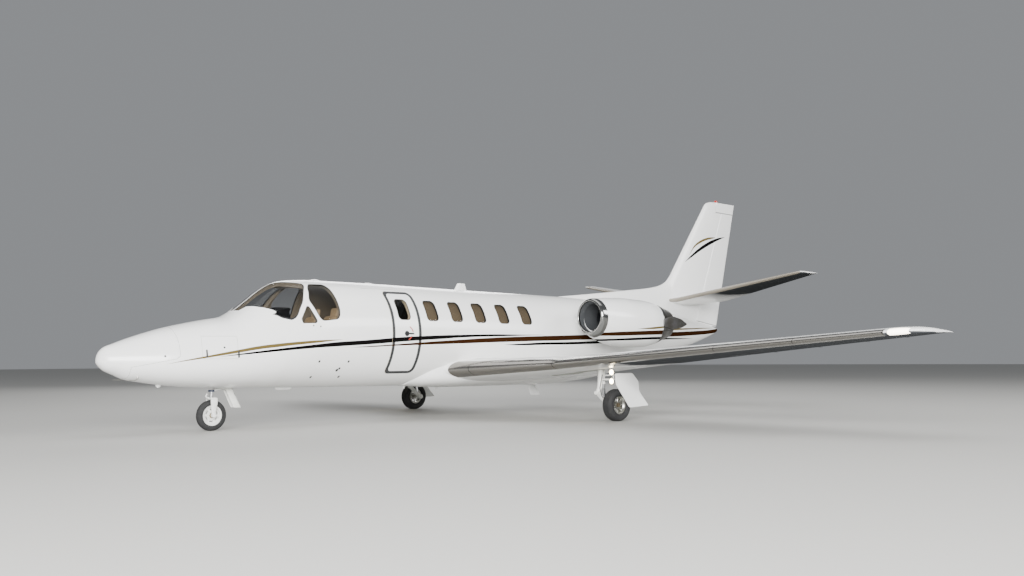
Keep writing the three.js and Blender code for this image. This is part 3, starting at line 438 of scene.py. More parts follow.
def dressed(piece: Piece, *finishes: "Finish") -> Piece:
    """Gives a piece smooth faces, sharp creases and one finish for each material slot."""
    last = len(finishes) - 1
    found = np.zeros(len(piece.data.polygons), int)
    piece.data.polygons.foreach_get("material_index", found)
    piece.data.materials.clear()
    for finish in finishes:
        piece.data.materials.append(finish.material())
    piece.data.polygons.foreach_set("material_index", np.minimum(found, last))
    piece.data.shade_smooth()
    piece.data.set_sharp_from_angle(angle=SHARP)
    return piece


def place(piece: Piece, body: str, slot: str, *nodes: str) -> Piece:
    """Puts a finished piece on its body and reports it.

    Args:
        piece: The piece.
        body: The body that it moves with.
        slot: The record's slot that its finish comes from; not used.
        nodes: The solids that it stands for.

    Returns:
        The piece.
    """
    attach(piece, body)
    if nodes:
        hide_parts(*nodes)
    log.info("%s: %d faces on %s", piece.name, len(piece.data.polygons), body)
    return piece


def fit(piece: Piece, finish: "Finish", slot: str, *nodes: str,
        body: str = "airframe") -> Piece:
    """Dresses a piece in one finish and puts it on its body."""
    return place(dressed(piece, finish), body, slot, *nodes)


def level_normals(points: Array, level: Level) -> tuple[Array, Array]:
    """Outward directions and distances of points from the surface where a level is one."""
    step = 1e-4
    slope = np.stack([
        (level(points + offset) - level(points - offset)) / (2 * step) for offset in np.eye(3) * step
    ], axis=1)
    length = np.maximum(np.linalg.norm(slope, axis=1), 1e-9)
    return slope / length[:, None], (level(points) - 1) / length


def true_shading(piece: Piece, level: Level,
                 reach: float = 0.002) -> Piece:
    """Shades what lies on a curved surface by that surface, so that cuts in it leave no dents in the gloss.

    Args:
        piece: The cut piece, already dressed.
        level: A number for each point that is one on the surface.
        reach: How far from the surface a point may lie.

    Returns:
        The piece.
    """
    mesh = piece.data
    points = np.zeros(len(mesh.vertices) * 3)
    mesh.vertices.foreach_get("co", points)
    points = points.reshape(-1, 3)
    points[:, 1] += HALF_LENGTH
    normals, away = level_normals(points, level)
    corner = np.zeros(len(mesh.loops), int)
    mesh.loops.foreach_get("vertex_index", corner)
    totals = np.zeros(len(mesh.polygons), int)
    mesh.polygons.foreach_get("loop_total", totals)
    flat = np.zeros(len(mesh.polygons) * 3)
    mesh.polygons.foreach_get("normal", flat)
    face = np.repeat(flat.reshape(-1, 3), totals, axis=0)
    wanted = normals[corner]
    on = (np.abs(away[corner]) < reach) & ((wanted * face).sum(axis=1) > 0.9)
    mesh.normals_split_custom_set(np.where(on[:, None], wanted, 0).tolist())
    return piece


# Finishes


def colour(code: str) -> Sizes:
    """An sRGB hex colour as linear light."""
    parts = [int(code[k:k + 2], 16) / 255 for k in (1, 3, 5)]
    red, green, blue = (c / 12.92 if c <= 0.04045 else ((c + 0.055) / 1.055) ** 2.4 for c in parts)
    return red, green, blue, 1.0


def add(tree: Tree, kind: str, links: Links | None = None, **settings: object) -> Node:
    """Adds a node.

    Args:
        tree: Where it goes.
        kind: The node's type, without its common start.
        links: A value, or another node's socket, for each input.
        settings: The node's own settings.

    Returns:
        The node.
    """
    node = tree.nodes.new("ShaderNode" + kind)
    for key, value in settings.items():
        setattr(node, key, value)
    for key, value in (links or {}).items():
        if isinstance(value, Socket):
            tree.links.new(value, node.inputs[key])
        else:
            node.inputs[key].default_value = value
    return node


@dataclass(frozen=True)
class Finish:
    """A finish of one colour, with what its surface does to the light."""

    name: str
    base: str
    roughness: float
    metallic: float = 0.0
    coat: float = 0.0
    second: str = ""
    patch_mm: float = 100.0
    grain_mm: float = 0.0
    relief_mm: float = 0.0
    glow: float = 0.0
    specular: float = 0.5

    def tint(self, tree: Tree, where: Node) -> Socket | None:
        """The colour over the surface, or None where it is the same all over.

        Args:
            tree: The material's nodes.
            where: The texture coordinates.

        Returns:
            A colour socket, or None.
        """
        if not self.second:
            return None
        patches = add(tree, "TexNoise", {"Vector": where.outputs["Object"], "Scale": 1000 / self.patch_mm,
                                         "Detail": 4.0})
        share = add(tree, "MapRange", {0: patches.outputs[0], 1: 0.38, 2: 0.62})
        return mixed(tree, share.outputs[0], colour(self.base), colour(self.second))

    def material(self) -> bpy.types.Material:
        """The material, made once and then shared."""
        found = bpy.data.materials.get(self.name)
        if found:
            return found
        made = bpy.data.materials.new(self.name)
        made.use_nodes = True
        tree = made.node_tree
        shader = tree.nodes["Principled BSDF"]
        shader.inputs["Base Color"].default_value = colour(self.base)
        shader.inputs["Roughness"].default_value = self.roughness
        shader.inputs["Metallic"].default_value = self.metallic
        shader.inputs["Coat Weight"].default_value = self.coat
        shader.inputs["Coat Roughness"].default_value = 0.03
        shader.inputs["Specular IOR Level"].default_value = self.specular
        if self.glow:
            shader.inputs["Emission Color"].default_value = colour(self.base)
            shader.inputs["Emission Strength"].default_value = self.glow
        where = add(tree, "TexCoord")
        over = self.tint(tree, where)
        if over:
            tree.links.new(over, shader.inputs["Base Color"])
        if self.grain_mm:
            grain = add(tree, "TexNoise", {"Vector": where.outputs["Object"], "Scale": 1000 / self.grain_mm,
                                           "Detail": 2.0})
            bump = add(tree, "Bump", {"Height": grain.outputs[0], "Distance": self.relief_mm / 1000,
                                      "Strength": 1.0})
            tree.links.new(bump.outputs[0], shader.inputs["Normal"])
        return made


def worked(tree: Tree, operation: str, *values: object, **settings: object) -> Socket:
    """The outcome of one sum on numbers and sockets."""
    return add(tree, "Math", dict(enumerate(values)), operation=operation, **settings).outputs[0]


def mixed(tree: Tree, share: object, low: object, high: object) -> Socket:
    """One colour where the share is nought and another where it is one."""
    return add(tree, "Mix", {0: share, 6: low, 7: high}, data_type="RGBA").outputs[2]


def above(tree: Tree, value: object, edge: object, blur: float = 0.0012) -> Socket:
    """One where a value is over an edge, nought where it is under, with a narrow blur between."""
    apart = worked(tree, "SUBTRACT", value, edge)
    return worked(tree, "MULTIPLY_ADD", apart, 1 / blur, 0.5, use_clamp=True)


def times(tree: Tree, *shares: Socket) -> Socket:
    """The product of several shares."""
    product = shares[0]
    for share in shares[1:]:
        product = worked(tree, "MULTIPLY", product, share)
    return product


def under(tree: Tree, share: Socket) -> Socket:
    """What a share leaves of one."""
    return worked(tree, "SUBTRACT", 1.0, share)


def fade_gloss(tree: Tree, share: Socket, coat: float) -> None:
    """Scales the paint's gloss and clear coat by a share that varies over the surface."""
    shader = tree.nodes["Principled BSDF"]
    for socket, most in (("Coat Weight", coat), ("Specular IOR Level", 0.5)):
        tree.links.new(worked(tree, "MULTIPLY", share, most), shader.inputs[socket])


@dataclass(frozen=True)
class Stripe:
    """A painted stripe in side view: rows of station, lower edge and upper edge."""

    paint: str
    edges: Rows

    def share(self, tree: Tree, station: Socket,
              height: Socket) -> Socket:
        """One on the stripe and nought off it.

        Args:
            tree: The material's nodes.
            station: The station of each point, aft of the row frame's origin.
            height: Its height.

        Returns:
            The share's socket.
        """
        rows = np.array(self.edges, float)
        grow = np.minimum(0.007, (rows[:, 2] - rows[:, 1]) / 3)
        rows[:, 1], rows[:, 2] = rows[:, 1] - grow, rows[:, 2] + grow
        first, last = rows[0, 0] - HALF_LENGTH, rows[-1, 0] - HALF_LENGTH
        low, high = rows[:, 1:].min(), rows[:, 1:].max()
        along = add(tree, "MapRange", {0: station, 1: float(first), 2: float(last)})
        edges = []
        for column in (1, 2):
            curve = add(tree, "FloatCurve", {1: along.outputs[0]})
            line = curve.mapping.curves[0]
            points = [((row[0] - rows[0, 0]) / (rows[-1, 0] - rows[0, 0]), (row[column] - low) / (high - low))
                      for row in rows]
            line.points[0].location, line.points[1].location = points[0], points[-1]
            for point in points[1:-1]:
                line.points.new(*point)
            for point in line.points:
                point.handle_type = "AUTO_CLAMPED"
            curve.mapping.update()
            edges.append(add(tree, "MapRange", {0: curve.outputs[0], 3: float(low), 4: float(high)}).outputs[0])
        return times(tree, above(tree, height, edges[0]), under(tree, above(tree, height, edges[1])),
                     above(tree, station, float(first)), under(tree, above(tree, station, float(last))))


BROWN, GOLD, BLACK = "#2d190c", "#5f5230", "#0f0e0e"


def centred(paint: str, rows: Rows, thickness: Rows) -> Stripe:
    """A stripe given by its middle line and its thickness at a few stations."""
    table = np.array(thickness, float)
    widths = [float(np.interp(row[0], table[:, 0], table[:, 1])) / 2 for row in rows]
    return Stripe(paint, [[s, z - half, z + half] for (s, z), half in zip(rows, widths)])


HULL_STRIPES = (
    centred(GOLD, [(0.8, 1.010), (1.0, 1.051), (1.27, 1.099), (1.56, 1.149), (1.85, 1.199), (2.15, 1.250),
                   (2.46, 1.286), (2.78, 1.318), (3.12, 1.346), (3.53, 1.376)],
            [(0.8, 0.0), (1.27, 0.015), (1.56, 0.022), (1.85, 0.030), (2.15, 0.035), (2.6, 0.037), (3.1, 0.022),
             (3.53, 0.0)]),
    Stripe(BLACK, [[1.52, 1.112, 1.112], [1.85, 1.144, 1.156], [2.15, 1.172, 1.192], [2.46, 1.202, 1.228],
                   [2.79, 1.230, 1.264], [3.13, 1.256, 1.300], [3.48, 1.277, 1.333], [3.85, 1.298, 1.354],
                   [4.23, 1.322, 1.382], [4.62, 1.352, 1.412], [5.03, 1.379, 1.434], [5.45, 1.402, 1.451],
                   [5.88, 1.429, 1.463], [6.33, 1.447, 1.474], [6.79, 1.458, 1.480], [7.35, 1.472, 1.482],
                   [7.90, 1.487, 1.487]]),
    Stripe(BROWN, [[3.67, 1.250, 1.250], [4.05, 1.262, 1.273], [4.43, 1.280, 1.293], [4.93, 1.299, 1.322],
                   [5.24, 1.308, 1.342], [5.88, 1.327, 1.379], [6.79, 1.355, 1.426], [7.52, 1.375, 1.450],
                   [8.28, 1.393, 1.470], [12.05, 1.502, 1.584], [12.57, 1.521, 1.602], [13.21, 1.551, 1.629],
                   [13.67, 1.580, 1.656], [14.2, 1.63, 1.70]]),
    Stripe(BLACK, [[6.87, 1.304, 1.304], [7.28, 1.298, 1.316], [7.90, 1.310, 1.341], [8.55, 1.317, 1.351],
                   [10.0, 1.365, 1.400], [11.65, 1.431, 1.452], [12.33, 1.445, 1.458], [12.93, 1.455, 1.455]]),
    Stripe(GOLD, [[10.6, 1.600, 1.600], [11.3, 1.612, 1.634], [12.11, 1.638, 1.662], [12.77, 1.664, 1.680],
                  [13.38, 1.688, 1.700], [14.0, 1.710, 1.710]]),
)
NACELLE_STRIPES = (
    Stripe(GOLD, [[9.28, 1.594, 1.594], [9.67, 1.600, 1.619], [10.06, 1.624, 1.648], [10.3, 1.638, 1.664]]),
    Stripe(BROWN, [[8.6, 1.468, 1.515], [8.82, 1.468, 1.526], [9.15, 1.476, 1.539], [9.70, 1.492, 1.559],
                   [10.10, 1.502, 1.572], [10.3, 1.507, 1.578]]),
    Stripe(BLACK, [[8.6, 1.371, 1.394], [8.83, 1.377, 1.400], [9.24, 1.388, 1.418], [9.77, 1.404, 1.438],
                   [10.06, 1.412, 1.444], [10.3, 1.419, 1.450]]),
)
FIN_STRIPES = (
    centred(BLACK, [(12.93, 3.165), (13.2, 3.335), (13.46, 3.483), (13.75, 3.618), (14.0, 3.713), (14.25, 3.79),
                    (14.505, 3.852)],
            [(12.93, 0.0), (13.3, 0.056), (13.65, 0.075), (14.0, 0.062), (14.25, 0.034), (14.505, 0.0)]),
    centred(GOLD, [(13.08, 3.32), (13.143, 3.387), (13.306, 3.555), (13.491, 3.66), (13.725, 3.743),
                   (13.913, 3.78), (14.13, 3.812)],
            [(13.08, 0.0), (13.35, 0.036), (13.6, 0.046), (13.85, 0.034), (14.13, 0.0)]),
    Stripe("#8b8c8c", [[14.12, 4.392, 4.404], [14.86, 4.392, 4.404]]),
)


@dataclass(frozen=True)
class StripedPaint(Finish):
    """Gloss enamel with stripes that run along the jet."""

    stripes: tuple[Stripe, ...] = ()

    def tint(self, tree: Tree, where: Node) -> Socket:
        """The ground colour with each stripe laid over it."""
        parts = add(tree, "SeparateXYZ", {0: where.outputs["Object"]}).outputs
        over: object = colour(self.base)
        bare: list[Socket] = []
        for stripe in self.stripes:
            share = stripe.share(tree, parts[1], parts[2])
            over = mixed(tree, share, over, colour(stripe.paint))
            bare.append(under(tree, share))
        fade_gloss(tree, times(tree, *bare), self.coat)
        return over


@dataclass(frozen=True)
class SurfacePaint(Finish):
    """Gloss enamel on a wing or tailplane: white above and grey below, the grey darkened with painted shade."""

    # The underside's grey is darkened with painted shade, which starts at a distance out and fades in over a blur
    below: str = "#66686a"
    painted_shade_from: float = 0.0
    painted_shade_blur: float = 0.0012
    # A white patch round the leg: painted light from the landing lamps, where the painted shade is left off
    patch: Sizes | None = None
    # A tan strip along the leading edge: a painted reflection of the sky, where the real rubber boot is black
    strip: Sizes | None = None
    painted_reflection_colour: str = "#8e877b"

    def tint(self, tree: Tree, where: Node) -> Socket:
        """White above and grey below, the grey darkened with painted shade; a white patch round the leg is painted
        lamp light, and a tan strip along the leading edge is a painted reflection.
        """
        parts = add(tree, "SeparateXYZ", {0: where.outputs["Object"]}).outputs
        facing = add(tree, "SeparateXYZ", {0: where.outputs["Normal"]})
        out = worked(tree, "ABSOLUTE", parts[0])
        # Painted shade on the underside, fading in outboard
        shaded_underside = times(tree, under(tree, above(tree, facing.outputs[2], -0.12, 0.06)),
                     above(tree, out, self.painted_shade_from, self.painted_shade_blur))
        # Painted lamp light round the leg: the painted shade is left off there
        if self.patch:
            low, high, start, end = self.patch
            inside = times(tree, above(tree, out, low), under(tree, above(tree, out, high)),
                           above(tree, parts[1], start - HALF_LENGTH),
                           under(tree, above(tree, parts[1], end - HALF_LENGTH)))
            shaded_underside = times(tree, shaded_underside, under(tree, inside))
        over = mixed(tree, shaded_underside, colour(self.base), colour(self.below))
        fade_gloss(tree, under(tree, shaded_underside), self.coat)
        # Painted reflection: a tan strip along the leading edge
        if self.strip:
            root, lead, lean, width = self.strip
            line = worked(tree, "MULTIPLY_ADD", out, lean, lead - lean * root - HALF_LENGTH + width)
            over = mixed(tree, above(tree, line, parts[1]), over, colour(self.painted_reflection_colour))
        return over


@dataclass(frozen=True)
class JointedMetal(Finish):
    """Bare metal in lengths, with a dark line at each joint, given by distance out."""

    joints: Sizes = ()

    def tint(self, tree: Tree, where: Node) -> Socket:
        """The metal's colour, with the joints drawn across it."""
        parts = add(tree, "SeparateXYZ", {0: where.outputs["Object"]}).outputs
        out = worked(tree, "ABSOLUTE", parts[0])
        over: object = colour(self.base)
        for joint in self.joints:
            line = times(tree, above(tree, out, joint - 0.004), under(tree, above(tree, out, joint + 0.004)))
            over = mixed(tree, line, over, colour("#2d2d2c"))
        return over


@dataclass(frozen=True)
class Pleats(Finish):
    """Pleated window blind: level folds of a given height, drawn as bands of painted light and shade."""

    fold_mm: float = 20.0

    def tint(self, tree: Tree, where: Node) -> Socket:
        """Light on each fold's upper face and shade under it."""
        parts = add(tree, "SeparateXYZ", {0: where.outputs["Object"]}).outputs
        wave = worked(tree, "MULTIPLY", parts[2], 2000 * pi / self.fold_mm)
        share = add(tree, "MapRange", {0: worked(tree, "SINE", wave), 1: -1.0, 2: 1.0})
        return mixed(tree, share.outputs[0], colour(self.base), colour(self.second))


@dataclass(frozen=True)
class Glazing(Finish):
    """Clear or tinted sheet: see-through face on and more of a mirror at a slant."""

    clearness: float = 0.75

    def material(self) -> bpy.types.Material:
        """The material, with its see-through share set by the slant."""
        made = super().material()
        tree = made.node_tree
        if "slant" not in tree.nodes:
            slant = add(tree, "LayerWeight", {"Blend": 0.35}, name="slant")
            solid = add(tree, "MapRange", {0: slant.outputs["Facing"], 3: 1 - self.clearness, 4: 0.5})
            tree.links.new(solid.outputs[0], tree.nodes["Principled BSDF"].inputs["Alpha"])
        return made


# Polyurethane enamel, sprayed and polished: a wet, mirror-like gloss over white
WHITE = Finish("polyurethane_enamel_white", "#f4f4f2", 0.24, coat=0.3)
# The same enamel with the jet's stripes, whose edges stay crisp under the gloss
HULL_PAINT = StripedPaint("striped_enamel_fuselage", "#f4f4f2", 0.24, coat=0.3, stripes=HULL_STRIPES)
NACELLE_PAINT = StripedPaint("striped_enamel_nacelle", "#f4f4f2", 0.24, coat=0.3, stripes=NACELLE_STRIPES)
FIN_PAINT = StripedPaint("striped_enamel_fin", "#f4f4f2", 0.24, coat=0.3, stripes=FIN_STRIPES)
# Silicone door seal: dull dark grey, with the stripes carried over it
SEAL_PAINT = StripedPaint("silicone_door_seal", "#2f3031", 0.7, stripes=HULL_STRIPES)
# Enamel on the wings and tail: white above, and a flat-looking grey below, darkened with painted shade that deepens
# outboard; on the wings the painted shade is left off round the leg, as painted light from the landing lamps
WING_PAINT = SurfacePaint("wing_enamel_painted_shade", "#f2f2f0", 0.25, coat=0.3, below="#515356", painted_shade_from=3.1,
                          painted_shade_blur=0.9, patch=(2.45, 3.4, 7.2, 7.9))
# Tailplane: painted shade below, and a tan painted reflection along the leading edge
TAIL_PAINT = SurfacePaint("tailplane_enamel_painted_shade", "#f2f2f0", 0.25, coat=0.3, below="#37393b", painted_shade_from=0.95,
                          painted_shade_blur=0.5, strip=(0.25, 12.35, 0.19338, 0.075))
# Polished aluminium sheet in lengths: near mirror, with faint waves from rolling
EDGE_METAL = JointedMetal("polished_aluminium_edge", "#9a9792", 0.2, 1.0, grain_mm=180.0, relief_mm=0.25,
                          joints=(1.06, 2.30, 5.345, 6.595, 7.865))
# Spun and polished aluminium: near mirror, a little softer than chrome
POLISHED = Finish("polished_aluminium_lip", "#8f8f8d", 0.14, 1.0)
# Heat-stained nickel alloy sheet: dull grey with warm patches
HOT_METAL = Finish("heat_stained_nickel_alloy", "#686767", 0.36, 0.9, second="#55524e", patch_mm=160.0,
                   grain_mm=6.0, relief_mm=0.05)
# Sooted steel in the tail pipe: nearly black and dull
SOOTED = Finish("sooted_steel", "#232221", 0.7, 0.6, second="#343230", patch_mm=60.0)
# Titanium blades: satin grey metal
TITANIUM = Finish("milled_titanium", "#5c5f62", 0.36, 1.0)
# Sound-proof lining of the intake: dull dark grey, seen in shade
DUCT_LINER = Finish("intake_lining", "#47494b", 0.6, 0.2)
# Machined aluminium: satin, slightly streaked
SATIN = Finish("machined_aluminium", "#b4b3ad", 0.32, 1.0, second="#a2a19b", patch_mm=30.0)
# Hard chrome on the pistons: bright mirror
CHROME = Finish("hard_chrome", "#e2e3e5", 0.06, 1.0)
# Epoxy enamel on the landing gear: plain white with less gloss than the skin
GEAR_ENAMEL = Finish("epoxy_enamel_gear", "#e8e8e4", 0.38, coat=0.15, second="#dcdcd6", patch_mm=90.0)
# Chromate primer inside the wells: pale, dull
PRIMER = Finish("primed_well", "#c9cbc4", 0.6)
# Vulcanised rubber: nearly black, dull, with a fine grain (drawn at 4 mm, coarser than real, to show)
RUBBER = Finish("vulcanised_rubber", "#1d1d1e", 0.82, second="#262626", patch_mm=40.0, grain_mm=4.0,
                relief_mm=0.12)
# Bronze hub nuts and wheel caps: warm satin metal
BRONZE = Finish("bronze_hub_nut", "#94866c", 0.3, 1.0)
# Enamelled collar on the nose leg: a small dark blue band
COLLAR_BLUE = Finish("enamel_collar_dark_blue", "#1e2a44", 0.4)
# Sealant round the panes and in the gaps of the skin: a matte black line
SEALANT = Finish("polysulphide_sealant", "#171718", 0.75)
# Moulded cabin trim: pale beige, soft sheen
TRIM = Finish("moulded_trim_beige", "#cbb999", 0.6)
# Padded cabin lining: dull and warm, the light frame that shows inside the cockpit's openings
LINING = Finish("padded_lining_cream", "#857a69", 0.85, grain_mm=8.0, relief_mm=0.2)
# Stretched acrylic panes: clear and dark-looking against the cabin
ACRYLIC = Glazing("stretched_acrylic", "#0d0f0f", 0.03, clearness=0.9, specular=0.22)
# Pleated paper blinds, drawn: warm brown, with fine level folds painted as bands of light and shade
BLIND = Pleats("pleated_blind", "#5a4c38", 0.85, second="#75654d", fold_mm=20.0)
# Matte black panel and glareshield: no glare on the glass
PANEL = Finish("matte_black_panel", "#0b0b0c", 0.9, second="#101011", patch_mm=50.0, grain_mm=3.0, relief_mm=0.08,
               specular=0.1)
# Display glass that is switched off: black, with a clean reflection
SCREEN = Finish("dark_screen_glass", "#0b0d10", 0.08)
# Tanned leather: tan, soft sheen, pebbled at about 5 mm (coarser than real, to show)
LEATHER = Finish("tanned_leather", "#b39a78", 0.55, second="#a88f6c", patch_mm=80.0, grain_mm=5.0, relief_mm=0.2)
# Cut-pile carpet: dull, with a soft broken surface at 6 mm
CARPET = Finish("cut_pile_carpet", "#8a7a66", 0.95, second="#7b6c59", patch_mm=24.0, grain_mm=6.0, relief_mm=1.0)
# Dark mild steel at latches, slots and vents
DARK_STEEL = Finish("blackened_steel", "#242526", 0.5, 0.3)
# Marking paint by the door's handle: a flat brick red
RED_MARK = Finish("red_marking_paint", "#a8322a", 0.5)
# Beacon lens: deep red plastic with a faint glow
RED_LENS = Finish("red_lamp_lens", "#a3150c", 0.15, coat=0.5, glow=0.5)
# Landing lamps, switched on: a warm white too bright to show the lens
LIT_LAMP = Finish("lit_lamp_lens", "#ffeec8", 0.2, glow=30.0)
# Wing tip lamp under its clear cover: a soft white glow
CLEAR_LENS = Finish("lit_tip_lens", "#fff6e4", 0.15, coat=0.8, glow=8.0)


# Hull surface


def hull_rings(places: Array, grow: float = 0.0, around: int = AROUND) -> Array:
    """Rings of points on the hull, or beside it.

    Args:
        places: The stations.
        grow: How far the surface is moved out.
        around: The points of each ring.

    Returns:
        Rings by points by three coordinates.
    """
    bottom, widest, top, half, above_, below = smooth(HULL, places, root=True).T[:, :, None]
    angle = full_turn(around)[None, :]
    upper = np.cos(angle) >= 0
    roundness = np.where(upper, above_, below)
    reach = np.maximum(np.where(upper, top - widest, widest - bottom) + grow, 1e-4)
    out = np.maximum(half + grow, 1e-4) * power(np.sin(angle), roundness)
    height = widest + reach * power(np.cos(angle), roundness)
    return np.stack([out, np.broadcast_to(places[:, None], out.shape), height], axis=2)


def hull_solid(low: float, high: float, grow: float = 0.0, index: int = 0, name: str = "hull",
               step: float = 0.04) -> Piece:
    """A stretch of the hull as a closed solid, with finer steps at the nose."""
    low = max(low, 1e-4)
    places = spaced(sqrt(low), sqrt(high), 0.02) ** 2 if low < 1 else spaced(low, high, step)
    return loft(name, hull_rings(places, grow), index=index)


def hull_level(points: Array) -> Array:
    """A number that is one on the hull, less inside and more outside."""
    bottom, widest, top, half, above_, below = smooth(HULL, points[:, 1], root=True).T
    upper = points[:, 2] >= widest
    roundness = np.where(upper, above_, below)
    reach = np.maximum(np.where(upper, top - widest, widest - bottom), 1e-4)
    share = np.abs(points[:, 2] - widest) / reach
    out = np.abs(points[:, 0]) / np.maximum(half, 1e-4)
    return (out ** roundness + share ** roundness) ** (1 / roundness)


def hull_out(station: float, height: float) -> float:
    """Half the hull's width at a station and height."""
    bottom, widest, top, half, above_, below = smooth(HULL, np.array([station]), root=True)[0]
    upper = height > widest
    share = min(1.0, abs(height - widest) / (top - widest if upper else widest - bottom))
    roundness = above_ if upper else below
    return float(half * (1 - share ** roundness) ** (1 / roundness))


def skin(piece: Piece, name: str, finishes: Sequence[Finish], slot: str, *nodes: str,
         body: str = "airframe", reach: float = 0.002) -> None:
    """Names, dresses and places a piece that lies on the hull, and shades it by the hull's own curve.

    Args:
        piece: The piece.
        name: Its name.
        finishes: A finish for each material slot.
        slot: The record's slot.
        nodes: The solids that it stands for.
        body: The body that it moves with.
        reach: How far from the hull its outer face may lie.
    """
    piece.name = name
    place(true_shading(dressed(piece, *finishes), hull_level, reach), body, slot, *nodes)


def hull_band(low: float, high: float, outer: float, inner: float, index: int = 0) -> Piece:
    """A stretch of skin between two depths, such as a pane's thickness."""
    band = hull_solid(low, high, outer, index)
    return carve(band, Cut.AWAY, hull_solid(low - 0.02, high + 0.02, inner, index))


# Lifting surfaces


def foil_half(share: Array) -> Array:
    """Half a section's thickness at a share of its chord, for a thickness of one, with a closed trailing edge."""
    return 5 * (0.2969 * np.sqrt(share) - 0.126 * share - 0.3516 * share ** 2 + 0.2843 * share ** 3
                - 0.1016 * share ** 4)


def foil(lead: float, trail: float, thickness: float, camber: float = 0.0, twist: float = 0.0,
         around: int = 72) -> tuple[Array, Array]:
    """A wing section.

    Args:
        lead: The leading edge's station.
        trail: The trailing edge's station.
        thickness: The thickness as a share of the chord.
        camber: The middle line's rise as a share of the chord.
        twist: How far the section noses up, in degrees.
        around: The points round it.

    Returns:
        The stations, and the heights over the leading edge.
    """
    angle = full_turn(around)
    share = (1 + np.cos(angle)) / 2
    half = foil_half(share)
    side = np.where(np.abs(np.sin(angle)) < 1e-6, 0, np.sign(np.sin(angle)))
    rise = 4 * camber * share * (1 - share) + side * half * thickness - sin(radians(twist)) * share
    return lead + share * (trail - lead), rise * (trail - lead)


def spread(rows: Rows, tip: int, step: float = 0.09) -> list[Array]:
    """Rows of a surface's table at close places, straight as far as the tip and then smooth."""
    table = np.array(rows, float)
    body = [straight(rows, place) for place in spaced(table[0, 0], table[tip, 0], step)]
    near = np.vstack([straight(rows, table[tip, 0] - 0.25), table[tip:]])
    places = spaced(table[tip, 0], table[-1, 0], 0.012)[1:]
    return body + [np.array([place, *row]) for place, row in zip(places, smooth(near, places))]


def flat_surface(rows: Sequence[Array], camber: float, name: str) -> Piece:
    """A wing or tailplane through rows of distance out, leading edge, trailing edge, height, thickness and twist."""
    rings = []
    for out, lead, trail, height, thickness, twist in rows:
        stations, heights = foil(lead, trail, thickness, camber, twist)
        rings.append(np.stack([np.full_like(stations, out), stations, height + heights], axis=1))
    return loft(name, np.array(rings))


def foil_middle(rows: Rows, camber: float, out: float, station: float) -> tuple[float, float]:
    """Height of a surface's middle and half its thickness, at a distance out and a station."""
    _, lead, trail, height, thickness, twist = straight(rows, out)
    share = (station - lead) / (trail - lead)
    shape = foil_half(share)
    lift = 4 * camber * share * (1 - share) - sin(radians(twist)) * share
    return float(height + lift * (trail - lead)), float(shape * thickness * (trail - lead))


def hinged(panel: Piece, name: str, moving: Piece, room: Piece,
           ends: Rows, room_ends: Rows, radii: Sequence[float], socket: float = 0.010) -> Piece:
    """Takes a moving surface with a round nose out of a panel.

    Args:
        panel: The panel, which is left with the surface's room.
        name: The surface's name.
        moving: The surface's outline as a solid.
        room: The outline of the room that it leaves.
        ends: Both ends of its round nose.
        room_ends: Both ends of the socket.
        radii: The nose's radius at both ends.
        socket: How much wider the socket is.

    Returns:
        The moving surface.
    """
    surface = copied(panel, name)
    carve(moving, Cut.JOIN, rod(ends, radii, 48))
    carve(surface, Cut.COMMON, moving)
    carve(room, Cut.JOIN, rod(room_ends, [radius + socket for radius in radii], 48))
    carve(panel, Cut.AWAY, room)
    return surface


